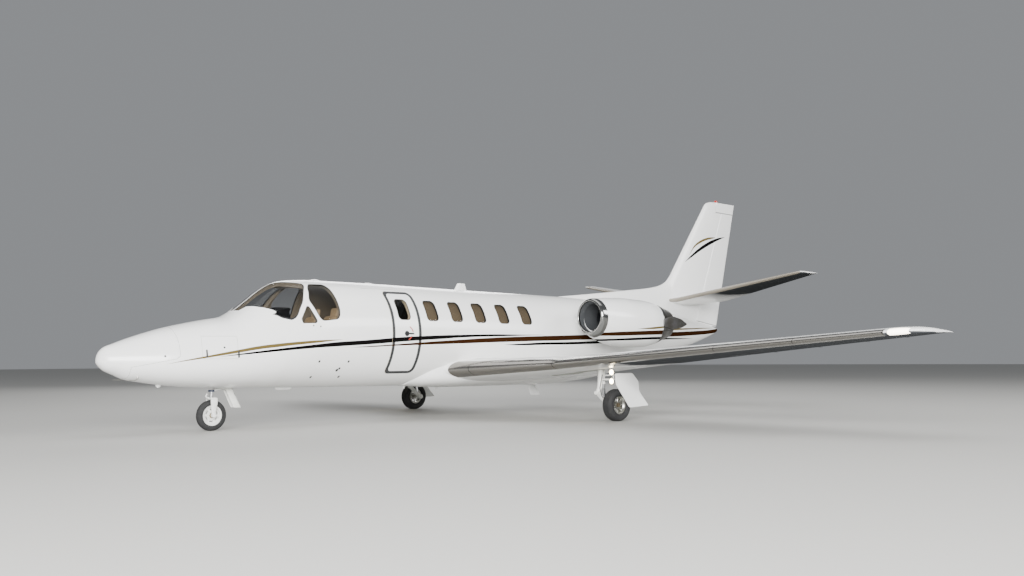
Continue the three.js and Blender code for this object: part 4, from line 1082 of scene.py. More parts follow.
@dataclass
class Fuselage:
    """The pressure hull with its radome, nose lockers, windows, door and belly fairing."""

    bay: Sizes = (1.31, 1.85, 1.085, 1.42, 0.2375)
    bay_gap: float = 0.003
    door: Sizes = (4.46, 5.05, 0.82, 2.19, 0.09)
    door_gap: float = 0.0045
    window: Sizes = (0.254, 1.696, 2.050, 0.072)
    window_fall: tuple[float, float] = (5.34, 0.0135)
    stations: Sizes = (5.322, 5.852, 6.379, 6.926, 7.479)
    door_window: float = 4.735
    seal_width: float = 0.008
    starboard_extra: float = 4.85

    def bay_room(self, side: int, gap: float) -> Piece:
        """The room of one nose locker, made smaller by a gap for its door."""
        start, end, low, high, skew = self.bay
        outline = [
            (side * out, place - skew * (out - 0.55))
            for place, outs in ((start + gap, (0.25, 0.9)), (end - gap, (0.9, 0.25))) for out in outs
        ]
        return prism(outline, low + gap, high - gap, Plane.TOP, index=1)

    def nose(self) -> None:
        """Radome, nose and the two locker doors with their latches."""
        front = hull_solid(0, NOSE_END - SEAM)
        radome = copied(front, "radome_skin")
        cut = [(s + 0.0025, z - 0.0025) for s, z in RADOME]
        carve(radome, Cut.COMMON, prism(RADOME, -0.9, 0.9))
        carve(front, Cut.AWAY, prism(cut, -0.95, 0.95, index=2), self.bay_room(1, 0), self.bay_room(-1, 0),
              block((-0.135, 1.54, 0.4), (0.135, 2.0, 0.85), index=1))
        for piece, name, node in ((radome, "radome_skin", "radome"), (front, "nose_skin", "nose_section")):
            skin(piece, name, (HULL_PAINT, PRIMER, SEALANT), "paint_white", node)
        for name, side in SIDES:
            door = hull_band(1.15, NOSE_END, 0, -0.03)
            carve(door, Cut.COMMON, self.bay_room(side, self.bay_gap))
            body = f"nose_bay_door_leaf_{name}"
            skin(door, f"nose_locker_door_{name}", (HULL_PAINT, PRIMER), "paint_white", f"nose_bay_door_{name}",
                 body=body)
            marks = [self.patch(side, s - 0.012, s + 0.012, low, high) for s, low, high in
                     ((1.365, 1.107, 1.22), (1.826, 1.10, 1.20))]
            latch = dressed(joined(f"nose_locker_latches_{name}", marks), DARK_STEEL)
            place(latch, body, "steel")

    def patch(self, side: int, start: float, end: float, low: float, high: float,
              rise: float = 0.0012) -> Piece:
        """A thin plate that lies on the hull's side, between two stations and two heights."""
        plate = hull_band(start - 0.05, end + 0.05, rise, -0.002)
        corners = [(start, low), (end, low), (end, high), (start, high)]
        outline = softened(corners, min(end - start, high - low) * 0.3)
        spans = sorted((side * 0.12, side * 1.0))
        return carve(plate, Cut.COMMON, prism(outline, *spans))

    def window_outline(self, station: float, grow: float = 0.0) -> Outline:
        """Outline of a cabin window, grown by a margin; each sits a little lower than the one ahead of it."""
        width, low, high, corner = self.window
        datum, slope = self.window_fall
        fall = slope * (station - datum)
        return rounded_rectangle(station - width / 2 - grow, station + width / 2 + grow, low - grow - fall,
                                 high + grow - fall, corner + grow)

    def door_outline(self, gap: float) -> Outline:
        """Outline of the cabin door, made smaller by a gap."""
        start, end, low, high, corner = self.door
        return rounded_rectangle(start + gap, end - gap, low + gap, high - gap, corner - gap)

    def cabin(self) -> None:
        """Cabin section with its windows, panes, sealant and blinds."""
        barrel = hull_solid(COCKPIT_END, CABIN_END - SEAM, step=0.05)
        tools = [hull_solid(COCKPIT_END - 0.05, CABIN_VOID_END, -WALL, index=2, step=0.1),
                 prism(self.door_outline(0), 0.25, 1.0, index=3),
                 prism(self.window_outline(self.starboard_extra), -1.0, -0.3, index=3)]
        tools += [prism(self.window_outline(station), -1.0, 1.0, index=3) for station in self.stations]
        carve(barrel, Cut.AWAY, *tools)
        skin(barrel, "cabin_skin", (HULL_PAINT, TRIM, LINING, SEALANT), "paint_white", "cabin_section")
        for name, side in SIDES:
            stations = self.stations + ((self.starboard_extra,) if side < 0 else ())
            self.glaze(name, side, stations, "airframe")

    def glaze(self, name: str, side: int, stations: Sequence[float], body: str, blind: bool = True) -> None:
        """Panes, their sealant and their blinds for a row of windows.

        Args:
            name: The side's name, for the pieces.
            side: 1 for port and -1 for starboard.
            stations: The windows' middles.
            body: The body that they move with.
            blind: Whether the blinds are drawn.
        """
        spans = sorted((side * 0.3, side * 1.0))
        start, end = min(stations) - 0.2, max(stations) + 0.2
        layers = [("pane", ACRYLIC, "window_glass", -0.007, -0.012),
                  ("seal", SEALANT, "tyre_rubber", -0.001, -0.009)]
        if blind:
            layers.append(("blind", BLIND, "leather", -0.040, -0.044))

        def cores(grow: float) -> Piece:
            """All the windows' outlines as one cutter."""
            return joined("cores", [prism(self.window_outline(s, grow), *spans) for s in stations])

        for part, finish, slot, outer, inner in layers:
            piece = carve(hull_band(start, end, outer, inner), Cut.COMMON, cores(0.0))
            if part == "seal":
                carve(piece, Cut.AWAY, cores(-self.seal_width))
            skin(piece, f"window_{part}_{name}", (finish,), slot, body=body, reach=DEEP)

    def entry_door(self) -> None:
        """Cabin door with its dark seal, window, handle and marks."""
        body = "cabin_door_leaf"
        leaf = hull_band(4.3, 5.2, 0, -WALL)
        carve(leaf, Cut.COMMON, prism(self.door_outline(self.door_gap), 0.25, 1.0, index=1))
        carve(leaf, Cut.AWAY, prism(self.window_outline(self.door_window), 0.3, 1.0, index=1), self.door_bevel())
        skin(leaf, "cabin_door_skin", (HULL_PAINT, TRIM), "paint_white", "cabin_door", body=body)
        seal = hull_band(4.3, 5.2, 0.0008, -0.003)
        carve(seal, Cut.COMMON, prism(self.door_outline(self.door_gap + 0.0005), 0.25, 1.0))
        start, end, low, high, corner = self.door
        inner = rounded_rectangle(start + 0.058, end - 0.058, low + 0.044, high - 0.042, corner - 0.03)
        carve(seal, Cut.AWAY, prism(inner, 0.2, 1.1))
        skin(seal, "cabin_door_seal", (SEAL_PAINT,), "tyre_rubber", body=body)
        self.glaze("door", 1, (self.door_window,), body, blind=False)
        self.door_handle(body)

    def door_bevel(self) -> Piece:
        """What is taken off the door's aft edge, so that its inner side swings clear of the doorway."""
        _, end, low, high, corner = self.door
        rings = []
        for height in np.linspace(low - 0.005, high + 0.005, 25):
            out = hull_out(4.8, float(height))
            over = min(corner, max(0.0, height - (high - corner), low + corner - height))
            edge = end - 0.006 - corner + sqrt(max(0.0, corner ** 2 - over ** 2))
            slope = (0.876 - out) / 0.595 * 1.3 + 0.12
            rings.append([(out + 0.015, edge + 0.002 + 0.015 * slope, height),
                          (out - 0.42, edge + 0.002 - 0.42 * slope, height), (out - 0.42, edge + 0.4, height),
                          (out + 0.015, edge + 0.4, height)])
        return loft("bevel", np.array(rings), index=1)

    def door_handle(self, body: str) -> None:
        """Round handle plate with its lever, and the curved red marks round it."""
        station, height = 4.748, 1.481
        out = hull_out(station, height)
        plate = rod([(out - 0.006, station, height), (out + 0.004, station, height)], 0.045, 48)
        lever = bevelled(block((out + 0.002, station - 0.01, height - 0.012), (out + 0.012, 4.89, height + 0.012)),
                         0.004)
        handle = dressed(joined("cabin_door_handle", [plate, lever]), DARK_STEEL)
        place(handle, body, "steel")
        arcs = []
        for start, end, reach in ((62, 12, 0.128), (-70, -22, 0.106)):
            turns = np.radians(np.linspace(start, end, 12))
            outer = ring(station, height, reach + 0.009, turns)
            inner = ring(station, height, reach - 0.009, turns[::-1])
            mark = hull_band(4.5, 5.1, 0.001, -0.002)
            arcs.append(carve(mark, Cut.COMMON, prism(outer + inner, 0.3, 1.0)))
        fit(joined("cabin_door_marks", arcs), RED_MARK, "paint_white", body=body)

    def tail_and_belly(self) -> None:
        """Tail cone and belly fairing."""
        cone = hull_solid(CABIN_END, TAIL_END, step=0.05)
        skin(cone, "tail_cone_skin", (HULL_PAINT,), "paint_white", "tail_section")
        places = spaced(FAIRING[0][0], FAIRING[-1][0], 0.06)
        half, bottom = smooth(FAIRING, places).T[:, :, None]
        angle = full_turn(96)[None, :]
        reach = np.where(np.cos(angle) > 0, 0.26, 0.84 - bottom)
        shape = np.full_like(reach, 2.6)
        rings = np.stack([half * power(np.sin(angle), shape), np.broadcast_to(places[:, None], reach.shape),
                          0.84 + reach * power(np.cos(angle), shape)], axis=2)
        belly = loft("belly_fairing_skin", rings)
        carve(belly, Cut.AWAY, hull_solid(4.8, 9.6, -0.004, step=0.08))
        fit(belly, WHITE, "paint_white", "belly_fairing")


@dataclass
class Cockpit:
    """The cockpit section with its windshield, side windows, panel and glareshield."""

    windshield: Outline = (
        (0.022, 2.05), (0.2, 2.085), (0.45, 2.225), (0.6, 2.4), (0.69, 2.54), (0.738, 2.68), (0.735, 2.78),
        (0.64, 2.925), (0.4, 3.08), (0.32, 3.09), (0.19, 2.87), (0.022, 2.74))
    side_window: Outline = (
        (3.19, 1.661), (3.445, 1.69), (3.494, 1.74), (3.517, 1.837), (3.512, 1.99), (3.495, 2.19), (3.44, 2.265),
        (3.18, 2.265), (3.105, 2.20), (3.022, 1.99), (3.135, 1.709))
    quarter: Outline = (
        (2.845, 1.620), (3.07, 1.626), (3.092, 1.665), (2.995, 1.893), (2.955, 1.893), (2.828, 1.69))
    fairing: Outline = (
        (0.022, 2.045), (0.16, 2.06), (0.217, 2.176), (0.413, 2.289), (0.515, 2.376), (0.61, 2.475), (0.61, 2.38),
        (0.45, 2.20), (0.2, 2.07), (0.022, 2.03))

    def opening(self, side: int, outline: Outline, top: bool, shrink: float = 0.0,
                index: int = 1, soft: float = 0.04) -> Piece:
        """A cutter for one opening.

        Args:
            side: 1 for port and -1 for starboard.
            outline: The opening's outline.
            top: Whether it is drawn from above; otherwise from the side.
            shrink: How far it is drawn in toward its middle.
            index: The material slot of the cut.
            soft: The radius of its corners.

        Returns:
            The cutter.
        """
        points = np.array(softened(outline, soft))
        middle = points.mean(axis=0)
        away = points - middle
        points = middle + away * (1 - shrink / np.linalg.norm(away, axis=1))[:, None]
        if top:
            return prism([(side * x, s) for x, s in points], 1.56, 2.6, Plane.TOP, index)
        return prism([(s, z) for s, z in points], *sorted((side * 0.25, side * 1.0)), Plane.SIDE, index)

    def build(self) -> None:
        """The section, its glass, and what shows behind the glass."""
        section = hull_solid(NOSE_END, COCKPIT_END - SEAM, step=0.03)
        openings = [("windshield", self.windshield, True, 0.04), ("side_window", self.side_window, False, 0.04),
                    ("quarter_window", self.quarter, False, 0.022)]
        tools = [self.opening(side, outline, top, index=2, soft=soft) for _, side in SIDES
                 for _, outline, top, soft in openings]
        inner = hull_solid(COCKPIT_VOID, COCKPIT_END + 0.05, -WALL, index=2, step=0.06)
        carve(section, Cut.AWAY, inner, block((-0.11, 1.9, 0.5), (0.11, 2.15, 0.69), index=3), *tools)
        skin(section, "cockpit_skin", (HULL_PAINT, SEALANT, LINING, PRIMER), "paint_white", "cockpit_section")
        for name, side in SIDES:
            for part, outline, top, soft in openings:
                pane = hull_band(2.0, 3.7, -0.008, -0.020)
                carve(pane, Cut.COMMON, self.opening(side, outline, top, 0.0005, soft=soft))
                skin(pane, f"{part}_pane_{name}", (ACRYLIC,), "window_glass", f"{part}_{name}", reach=DEEP)
                rim = hull_band(2.0, 3.7, -0.001, -0.0085)
                carve(rim, Cut.COMMON, self.opening(side, outline, top, 0.0005, soft=soft))
                carve(rim, Cut.AWAY, self.opening(side, outline, top, 0.012, soft=soft))
                rim.name = f"{part}_sealant_{name}"
                fit(rim, SEALANT, "tyre_rubber")
            fairing = hull_band(2.0, 2.6, 0.0025, -0.006)
            carve(fairing, Cut.COMMON, prism([(side * x, s) for x, s in self.fairing], 1.56, 2.6, Plane.TOP))
            skin(fairing, f"windshield_fairing_{name}", (WHITE,), "paint_white")
        self.panel()

    def panel(self) -> None:
        """Screens on the instrument panel and the two control yokes."""
        screens, yokes = [], []
        for x in (-0.38, 0.0, 0.38):
            face = [(2.690, 1.535), (2.6985, 1.536), (2.6525, 1.345), (2.644, 1.347)]
            screens.append(bevelled(prism(face, x - 0.13, x + 0.13), 0.002))
        for _, side in SIDES:
            x = side * 0.3
            yokes.append(rod([(x, 2.66, 1.33), (x, 2.86, 1.33)], 0.016))
            path = [(x - 0.13, 2.86, 1.40), (x - 0.12, 2.86, 1.33), (x - 0.05, 2.86, 1.31), (x + 0.05, 2.86, 1.31),
                    (x + 0.12, 2.86, 1.33), (x + 0.13, 2.86, 1.40)]
            yokes.append(rod(path, 0.015))
        fit(joined("panel_screens", screens), SCREEN, "panel_black")
        fit(joined("control_yokes", yokes), PANEL, "panel_black")


@dataclass
class Wings:
    """Both wings, with polished leading edges, flaps, ailerons, tip lamps and static wicks."""

    edge_inner: float = 0.75
    edge_outer: float = 7.88
    edge_share: float = 0.075
    flap: Sizes = (1.0, 4.95, 8.035, 7.980)
    aileron: Sizes = (5.01, 7.70, 8.075, 8.070)
    end_gap: float = 0.012
    wicks: Sizes = (5.4, 6.2, 7.0, 7.62)
    through: tuple[float, float] = (0.3, 2.2)

    def plan(self, outline: Outline, index: int = 0) -> Piece:
        """A plan carried through the wing from below to above."""
        return prism(outline, *self.through, Plane.TOP, index)

    def edge_outline(self, clearance: float) -> Outline:
        """Plan of the leading edge strip, seen from above."""
        line = []
        for out in (self.edge_inner, 2.3, self.edge_outer):
            _, lead, trail, *_ = straight(WING, out)
            line.append((out, lead + self.edge_share * (trail - lead) + clearance))
        (inner, first), middle, (outer, last) = line
        return [(inner - clearance, first), middle, (outer + clearance, last), (outer + clearance, 5.0),
                (inner - clearance, 5.0)]

    def moving(self, panel: Piece, name: str, spec: Sizes) -> Piece:
        """Takes a flap or aileron out of the wing.

        Args:
            panel: The wing.
            name: The surface's name.
            spec: Its inner and outer ends, and the hinge's station at each.

        Returns:
            The surface.
        """
        inner, outer, first, last = spec
        hinge = [(inner, first), (outer, last)]

        def station(out: float) -> float:
            """The hinge's station at a distance out."""
            return float(np.interp(out, (inner, outer), (first, last)))

        def outline(low: float, high: float) -> Piece:
            """The surface's plan between two distances out."""
            return self.plan([(low, station(low)), (high, station(high)), (high, 9.2), (low, 9.2)])

        near, far = inner + self.end_gap, outer - self.end_gap
        radii = [foil_middle(WING, WING_CAMBER, *end)[1] + 0.003 for end in hinge]
        points = [(out, station(out), foil_middle(WING, WING_CAMBER, out, station(out))[0])
                  for out in (near, far, inner, outer)]
        return hinged(panel, name, outline(near, far), outline(inner, outer), points[:2], points[2:], radii)

    def well(self) -> list[Piece]:
        """Cutters for the wheel well, the leg's slot and its pocket."""
        def top(out: float) -> float:
            """Height of the well's roof at a distance out."""
            return foil_middle(WING, WING_CAMBER, out, 7.5)[0] - 0.008
        return [rod([(1.76, 7.56, 0.3), (1.76, 7.56, top(1.76))], 0.3, 64, index=1),
                block((1.76, 7.33, 0.3), (2.735, 7.62, top(1.76)), index=1),
                block((2.595, 7.34, 0.3), (2.735, 7.58, top(2.665)), index=1)]

    def build(self) -> None:
        """The port wing's pieces, and their copies on the other side."""
        panel = flat_surface(spread(WING, 2), WING_CAMBER, "wing_skin")
        edge = copied(panel, "leading_edge_skin")
        carve(edge, Cut.COMMON, self.plan(self.edge_outline(0)))
        carve(panel, Cut.AWAY, self.plan(self.edge_outline(0.001)))
        lamp = copied(panel, "tip_lamp")
        lens_plan = [(7.93, 7.2), (8.14, 7.2), (8.14, 7.545), (7.93, 7.40)]
        carve(lamp, Cut.COMMON, self.plan(lens_plan))
        carve(panel, Cut.AWAY, self.plan(lens_plan, index=1))
        root = hull_solid(4.8, 9.6, -0.004, step=0.08)
        for piece in (edge, panel):
            carve(piece, Cut.AWAY, root, keep=True)
        drop(root)
        flap = self.moving(panel, "flap_skin", self.flap)
        aileron = self.moving(panel, "aileron_skin", self.aileron)
        carve(panel, Cut.AWAY, *self.well())
        rods = []
        for out in self.wicks:
            _, _, trail, height, _, twist = straight(WING, out)
            z = height - sin(radians(twist)) * (trail - straight(WING, out)[1])
            rods.append(rod([(out, trail - 0.02, z), (out + 0.01, trail + 0.10, z - 0.004)], [0.003, 0.002], 8))
        wicks = joined("wing_wicks", rods)
        pieces = [
            (panel, "wing_skin", (WING_PAINT, PRIMER), "airframe", "paint_white", "wing"),
            (edge, "leading_edge_skin", (EDGE_METAL,), "airframe", "polished_metal", "leading_edge"),
            (flap, "flap_skin", (WING_PAINT,), "flap_surface", "paint_white", "flap"),
            (aileron, "aileron_skin", (WING_PAINT,), "aileron_surface", "paint_white", "aileron"),
            (lamp, "tip_lamp", (CLEAR_LENS,), "airframe", "window_glass", ""),
            (wicks, "aileron_wicks", (DARK_STEEL,), "aileron_surface", "steel", ""),
        ]
        both_sides(pieces)


def both_sides(pieces: Sequence[tuple], level: Callable[[int], Level] | None = None,
               ) -> None:
    """Dresses the port pieces and their copies on the starboard side, and places them.

    Args:
        pieces: For each, the object, its name, its finishes, its body, its slot and the node that it stands for.
        level: Gives each side's surface to shade the pieces by, if they lie on one.
    """
    for piece, name, finishes, body, slot, node in pieces:
        other = copied(piece, f"{name}_starboard", mirror=True)
        piece.name = piece.data.name = f"{name}_port"
        for (side_name, side), half in zip(SIDES, (piece, other)):
            dressed(half, *finishes)
            if level:
                true_shading(half, level(side))
            where = body if body == "airframe" else f"{body}_{side_name}"
            place(half, where, slot, *([f"{node}_{side_name}"] if node else []))


@dataclass
class Tail:
    """Fin with its ridge, rudder, beacon, tailplane and elevators."""

    hinge: tuple[tuple[float, float], tuple[float, float]] = ((13.33, 1.86), (14.48, 4.632))
    low: tuple[tuple[float, float], tuple[float, float]] = ((13.3, 1.872), (14.2, 1.762))
    horn_height: float = 4.4
    horn_start: float = 14.13
    elevator: Sizes = (0.215, 2.995, 0.43)
    elevator_hinge: tuple[tuple[float, float], tuple[float, float]] = ((0.25, 13.49), (2.97, 13.347))
    beacon: Sizes = (14.2, 4.60, 4.69, 0.050)

    def hinge_at(self, height: float) -> float:
        """Station of the rudder's hinge at a height."""
        (first, foot), (last, head) = self.hinge
        return first + (height - foot) * (last - first) / (head - foot)

    def region(self, gap: float) -> Piece:
        """The rudder's outline in side view, grown by a gap."""
        lows = [(s, z - gap * 2.5) for s, z in self.low]
        horn = self.horn_height - gap * 2
        return prism([(self.hinge_at(lows[0][1]), lows[0][1]), (self.hinge_at(horn), horn),
                      (self.horn_start - gap * 2, horn), (self.horn_start - gap * 2, 4.8), (15.1, 4.8),
                      (15.1, lows[1][1]), lows[1]], -0.3, 0.3)

    def half_at(self, height: float) -> float:
        """Half the fin's thickness at its hinge."""
        _, lead, trail, thickness = straight(FIN, height)
        share = (self.hinge_at(height) - lead) / (trail - lead)
        return float(foil_half(share) * thickness * (trail - lead))

    def fin(self) -> None:
        """Fin, ridge and rudder with the beacon on top."""
        rings = []
        for height, lead, trail, thickness in spread(FIN, 2):
            stations, half = foil(lead, trail, thickness)
            rings.append(np.stack([half, stations, np.full_like(half, height)], axis=1))
        blade = loft("fin_skin", np.array(rings))
        ends = [[(0, self.hinge_at(z), z) for z in pair] for pair in ((1.872, 4.398), (1.866, 4.404))]
        radii = [self.half_at(1.87) + 0.004, self.half_at(4.39) + 0.004]
        rudder = hinged(blade, "rudder_skin", self.region(0), self.region(0.006), ends[0], ends[1], radii)
        carve(rudder, Cut.AWAY, hull_solid(CABIN_END, TAIL_END - 0.002, 0.012, step=0.08))
        carve(blade, Cut.AWAY, hull_solid(CABIN_END, TAIL_END - 0.002, -0.004, step=0.08))
        fit(rudder, FIN_PAINT, "paint_white", "rudder", body="rudder_surface")
        places = spaced(RIDGE[0][0], RIDGE[-1][0], 0.04)
        top, half = smooth(RIDGE, places).T[:, :, None]
        roof = smooth(HULL, places, root=True)[:, 2:3] - 0.045
        angle = full_turn(48)[None, :]
        reach = np.where(np.cos(angle) > 0, top - roof, 0.02)
        points = np.stack([half * np.sin(angle), np.broadcast_to(places[:, None], reach.shape),
                           roof + reach * np.cos(angle)], axis=2)
        ridge = dressed(loft("fin_ridge", points), WHITE)
        place(ridge, "airframe", "paint_white")
        fit(blade, FIN_PAINT, "paint_white", "fin")
        station, foot, head, radius = self.beacon
        base = rod([(0, station, foot), (0, station, foot + 0.035)], [radius, radius * 0.9], 32, name="beacon_base")
        fit(base, WHITE, "paint_white", body="rudder_surface")
        dome = rod([(0, station, foot + 0.034), (0, station, head - 0.02), (0, station, head - 0.005),
                    (0, station, head)], [radius * 0.85, radius * 0.8, radius * 0.55, radius * 0.15], 32,
                   name="beacon_lens")
        fit(dome, RED_LENS, "window_glass", body="rudder_surface")

    def tailplane(self) -> None:
        """Tailplane with its elevators."""
        half = spread(TAILPLANE, 1, 0.12)
        mirrored = [np.array([-row[0], *row[1:]]) for row in half[::-1]]
        plane = flat_surface([*mirrored, *half], 0.0, "tailplane_skin")
        carve(plane, Cut.AWAY, block((-0.22, 13.385, 2.0), (0.22, 14.5, 2.6)))
        inner, outer, slant = self.elevator
        (first, near_s), (last, far_s) = self.elevator_hinge

        def station(out: float) -> float:
            """The hinge's station at a distance out."""
            return near_s + (out - first) * (far_s - near_s) / (last - first)

        for name, side in SIDES:
            def plan(low: float, bend: float, high: float) -> Piece:
                """An elevator's plan between two distances out."""
                outline = [(low, station(low)), (high, station(high)), (high, 14.5), (bend, 14.5), (bend, 14.06)]
                return prism([(side * x, s) for x, s in outline], 2.0, 3.1, Plane.TOP)

            gap = 0.012
            ends = [(side * out, station(out), foil_middle(TAILPLANE, 0, out, station(out))[0])
                    for out in (inner + gap, outer - gap, inner, outer)]
            radii = [foil_middle(TAILPLANE, 0, abs(end[0]), end[1])[1] + 0.003 for end in ends[:2]]
            surface = hinged(plane, f"elevator_skin_{name}", plan(inner + gap, slant, outer - gap),
                             plan(inner, inner, outer), ends[:2], ends[2:], radii)
            fit(surface, TAIL_PAINT, "paint_white", f"elevator_{name}", body=f"elevator_surface_{name}")
        fit(plane, TAIL_PAINT, "paint_white", "tailplane")


def round_solid(table: Rows, low: float, high: float, grow: float = 0.0, index: int = 0,
                sides: int = 96) -> Piece:
    """A stretch of a port engine table as a closed solid."""
    places = spaced(low, high, 0.03)
    middle, radius = smooth(table, places).T[:, :, None]
    turn = full_turn(sides)[None, :]
    reach = radius + grow
    rings = np.stack([ENGINE_X + reach * np.sin(turn), np.broadcast_to(places[:, None], reach.shape[:1] + (sides,)),
                      middle + reach * np.cos(turn)], axis=2)
    return loft("round", rings, index=index)


@dataclass
class Engines:
    """Both nacelles with intake lips, reversers, side fairings, pylons and fans."""

    middle: float = 1.715
    cowl_end: Outline = (
        (10.33, 2.195), (10.236, 2.011), (10.181, 1.948), (10.147, 1.848), (10.123, 1.770), (10.110, 1.680),
        (10.104, 1.578), (10.110, 1.483), (10.129, 1.407), (10.18, 1.235))
    fairing: Outline = (
        (10.08, 0.06), (10.21, 0.115), (10.37, 0.135), (10.6, 0.085), (10.79, -0.013), (10.64, -0.078),
        (10.45, -0.11), (10.37, -0.11), (10.08, -0.065))
    edge: Outline = ((10.308, 0.141), (10.37, 0.141), (10.58, 0.096), (10.66, 0.079))
    blades: int = 28

    def level(self, side: int) -> Level:
        """A number that is one on the nacelle of one side."""
        def value(points: Array) -> Array:
            """The distance from the nacelle's middle over its radius."""
            middle, radius = smooth(NACELLE, points[:, 1]).T
            return np.hypot(points[:, 0] - side * ENGINE_X, points[:, 2] - middle) / radius
        return value

    def room(self, way: int, gap: float, sink: float) -> Piece:
        """Side view of a reverser door's room, grown by a gap; way is 1 for the upper door."""
        edge = [(s, z - sink) for s, z in self.edge]
        front = 10.105 - gap
        outline = [(front + 0.25 * edge[0][1], edge[0][1]), (front + 0.25 * 0.48, 0.48), (edge[3][0], 0.48), edge[3],
                   edge[2], edge[1]]
        return prism([(s, self.middle + way * z) for s, z in outline], ENGINE_X - 0.42, ENGINE_X + 0.42, index=2)

    def build(self) -> None:
        """The port engine's pieces, and their copies on the other side."""
        cowl = round_solid(NACELLE, 8.6003, 10.58)
        stations, heights = foil(8.78, 10.62, 0.09)
        pylon = loft("pylon", np.array([np.stack([np.full_like(stations, x), stations, 1.775 + heights], axis=1)
                                        for x in (0.45, 1.09)]))
        carve(cowl, Cut.JOIN, pylon)
        pipe = round_solid(NACELLE, 10.02, 10.46, -0.031)
        for way in (1, -1):
            carve(cowl, Cut.AWAY, carve(self.room(way, 0.014, 0.006), Cut.AWAY, pipe, keep=True))
        drop(pipe)
        carve(cowl, Cut.AWAY, round_solid(DUCT, 8.44, 10.62, index=1), hull_solid(8.2, 11.5, -0.004, step=0.08))
        rear = prism([*self.cowl_end, (10.9, 1.235), (10.9, 2.195)], ENGINE_X - 0.43, ENGINE_X + 0.48, index=2)
        dark = copied(cowl, "reverser_frame")
        carve(dark, Cut.COMMON, rear, keep=True)
        carve(cowl, Cut.AWAY, rear, keep=True)
        pieces = [
            (cowl, "nacelle_skin", (NACELLE_PAINT, DUCT_LINER, SEALANT), "airframe", "paint_white", "nacelle"),
            (dark, "reverser_frame", (HOT_METAL, SOOTED, HOT_METAL), "airframe", "dark_metal", ""),
        ]
        for name, way in (("upper", 1), ("lower", -1)):
            door = round_solid(NACELLE, 10.04, 10.58)
            carve(door, Cut.AWAY, round_solid(NACELLE, 10.0, 10.62, -0.025, index=1))
            carve(door, Cut.COMMON, self.room(way, 0, 0))
            carve(door, Cut.COMMON, rear, keep=True)
            pieces.append((door, f"reverser_door_{name}", (HOT_METAL, SOOTED), f"reverser_door_{name}", "dark_metal",
                           f"reverser_{name}"))
        drop(rear)
        both_sides(pieces, self.level)
        both_sides([
            (self.lip(), "intake_lip_skin", (POLISHED, DUCT_LINER), "airframe", "polished_metal", "intake_lip"),
            (self.side_fairings(), "reverser_side_fairing", (HOT_METAL,), "airframe", "dark_metal", ""),
            (self.fan(), "fan_blades", (TITANIUM, DARK_STEEL), "fan_rotor", "steel", "fan"),
        ])

    def lip(self) -> Piece:
        """Polished ring round the intake, with a round nose."""
        places = spaced(0, sqrt(0.13), 0.018) ** 2
        middle, outer, inner = smooth(LIP, places, root=True).T
        path = [(LIP_START + p, m, r) for p, m, r in zip(places[::-1], middle[::-1], outer[::-1])]
        path += [(LIP_START + p, m, r) for p, m, r in list(zip(places, middle, inner))[1:]]
        turn = full_turn(128)
        rings = np.array([[(ENGINE_X + r * sin(a), s, m + r * cos(a)) for s, m, r in path] for a in turn])
        ring = loft("lip", rings, closed=True)
        for face in ring.data.polygons:
            x, y, z = face.center
            centre = float(np.interp(y + HALF_LENGTH - LIP_START, places, middle))
            if y + HALF_LENGTH > LIP_START + 0.035 and hypot(x - ENGINE_X, z - centre) < 0.292:
                face.material_index = 1
        return ring

    def side_fairings(self) -> Piece:
        """Teardrop fairings over the reverser's arms, one on each side of the nozzle."""
        outline = softened([(s, self.middle + z) for s, z in self.fairing], 0.05)
        parts = []
        for way in (1, -1):
            spans = sorted((ENGINE_X + way * 0.385, ENGINE_X + way * 0.44))
            parts.append(bevelled(prism(outline, *spans), 0.016, 4))
            root = [(min(s, 10.55), z) for s, z in outline]
            spans = sorted((ENGINE_X + way * 0.27, ENGINE_X + way * 0.40))
            parts.append(prism(root, *spans))
        return joined("fairings", parts)

    def fan(self) -> Piece:
        """Twisted blades round a pointed hub, set on the engine's own slanted line."""
        lean = atan2(1.715 - 1.822, 10.58 - 8.47)
        hub_path = [(0, s, 0) for s in (-0.17, -0.165, -0.15, -0.12, -0.08, -0.03, 0.0, 0.06)]
        parts = [rod(hub_path, [0.002, 0.014, 0.030, 0.052, 0.070, 0.084, 0.088, 0.088], 48, index=1)]
        for k in range(self.blades):
            spin = 2 * pi * k / self.blades
            rings = []
            for share in np.linspace(0, 1, 7):
                radius = 0.080 + share * 0.177
                pitch = radians(28 + 34 * share)
                turn = full_turn(14)
                chord, thick = 0.034 + 0.010 * share, 0.0035 - 0.002 * share
                across = chord * np.cos(turn) * sin(pitch) + thick * np.sin(turn) * cos(pitch)
                fore = chord * np.cos(turn) * cos(pitch) - thick * np.sin(turn) * sin(pitch)
                rings.append(np.stack([radius * cos(spin) - across * sin(spin), fore,
                                       radius * sin(spin) + across * cos(spin)], axis=1))
            parts.append(loft("blade", np.array(rings)))
        whole = joined("fan", parts)
        height = 1.822 + (8.96 - 8.47) * tan(lean)
        move = Matrix.Translation((ENGINE_X, 8.96 - HALF_LENGTH, height)) @ Matrix.Rotation(lean, 4, "X")
        whole.data.transform(move @ Matrix.Translation((0, HALF_LENGTH, 0)))
        return whole


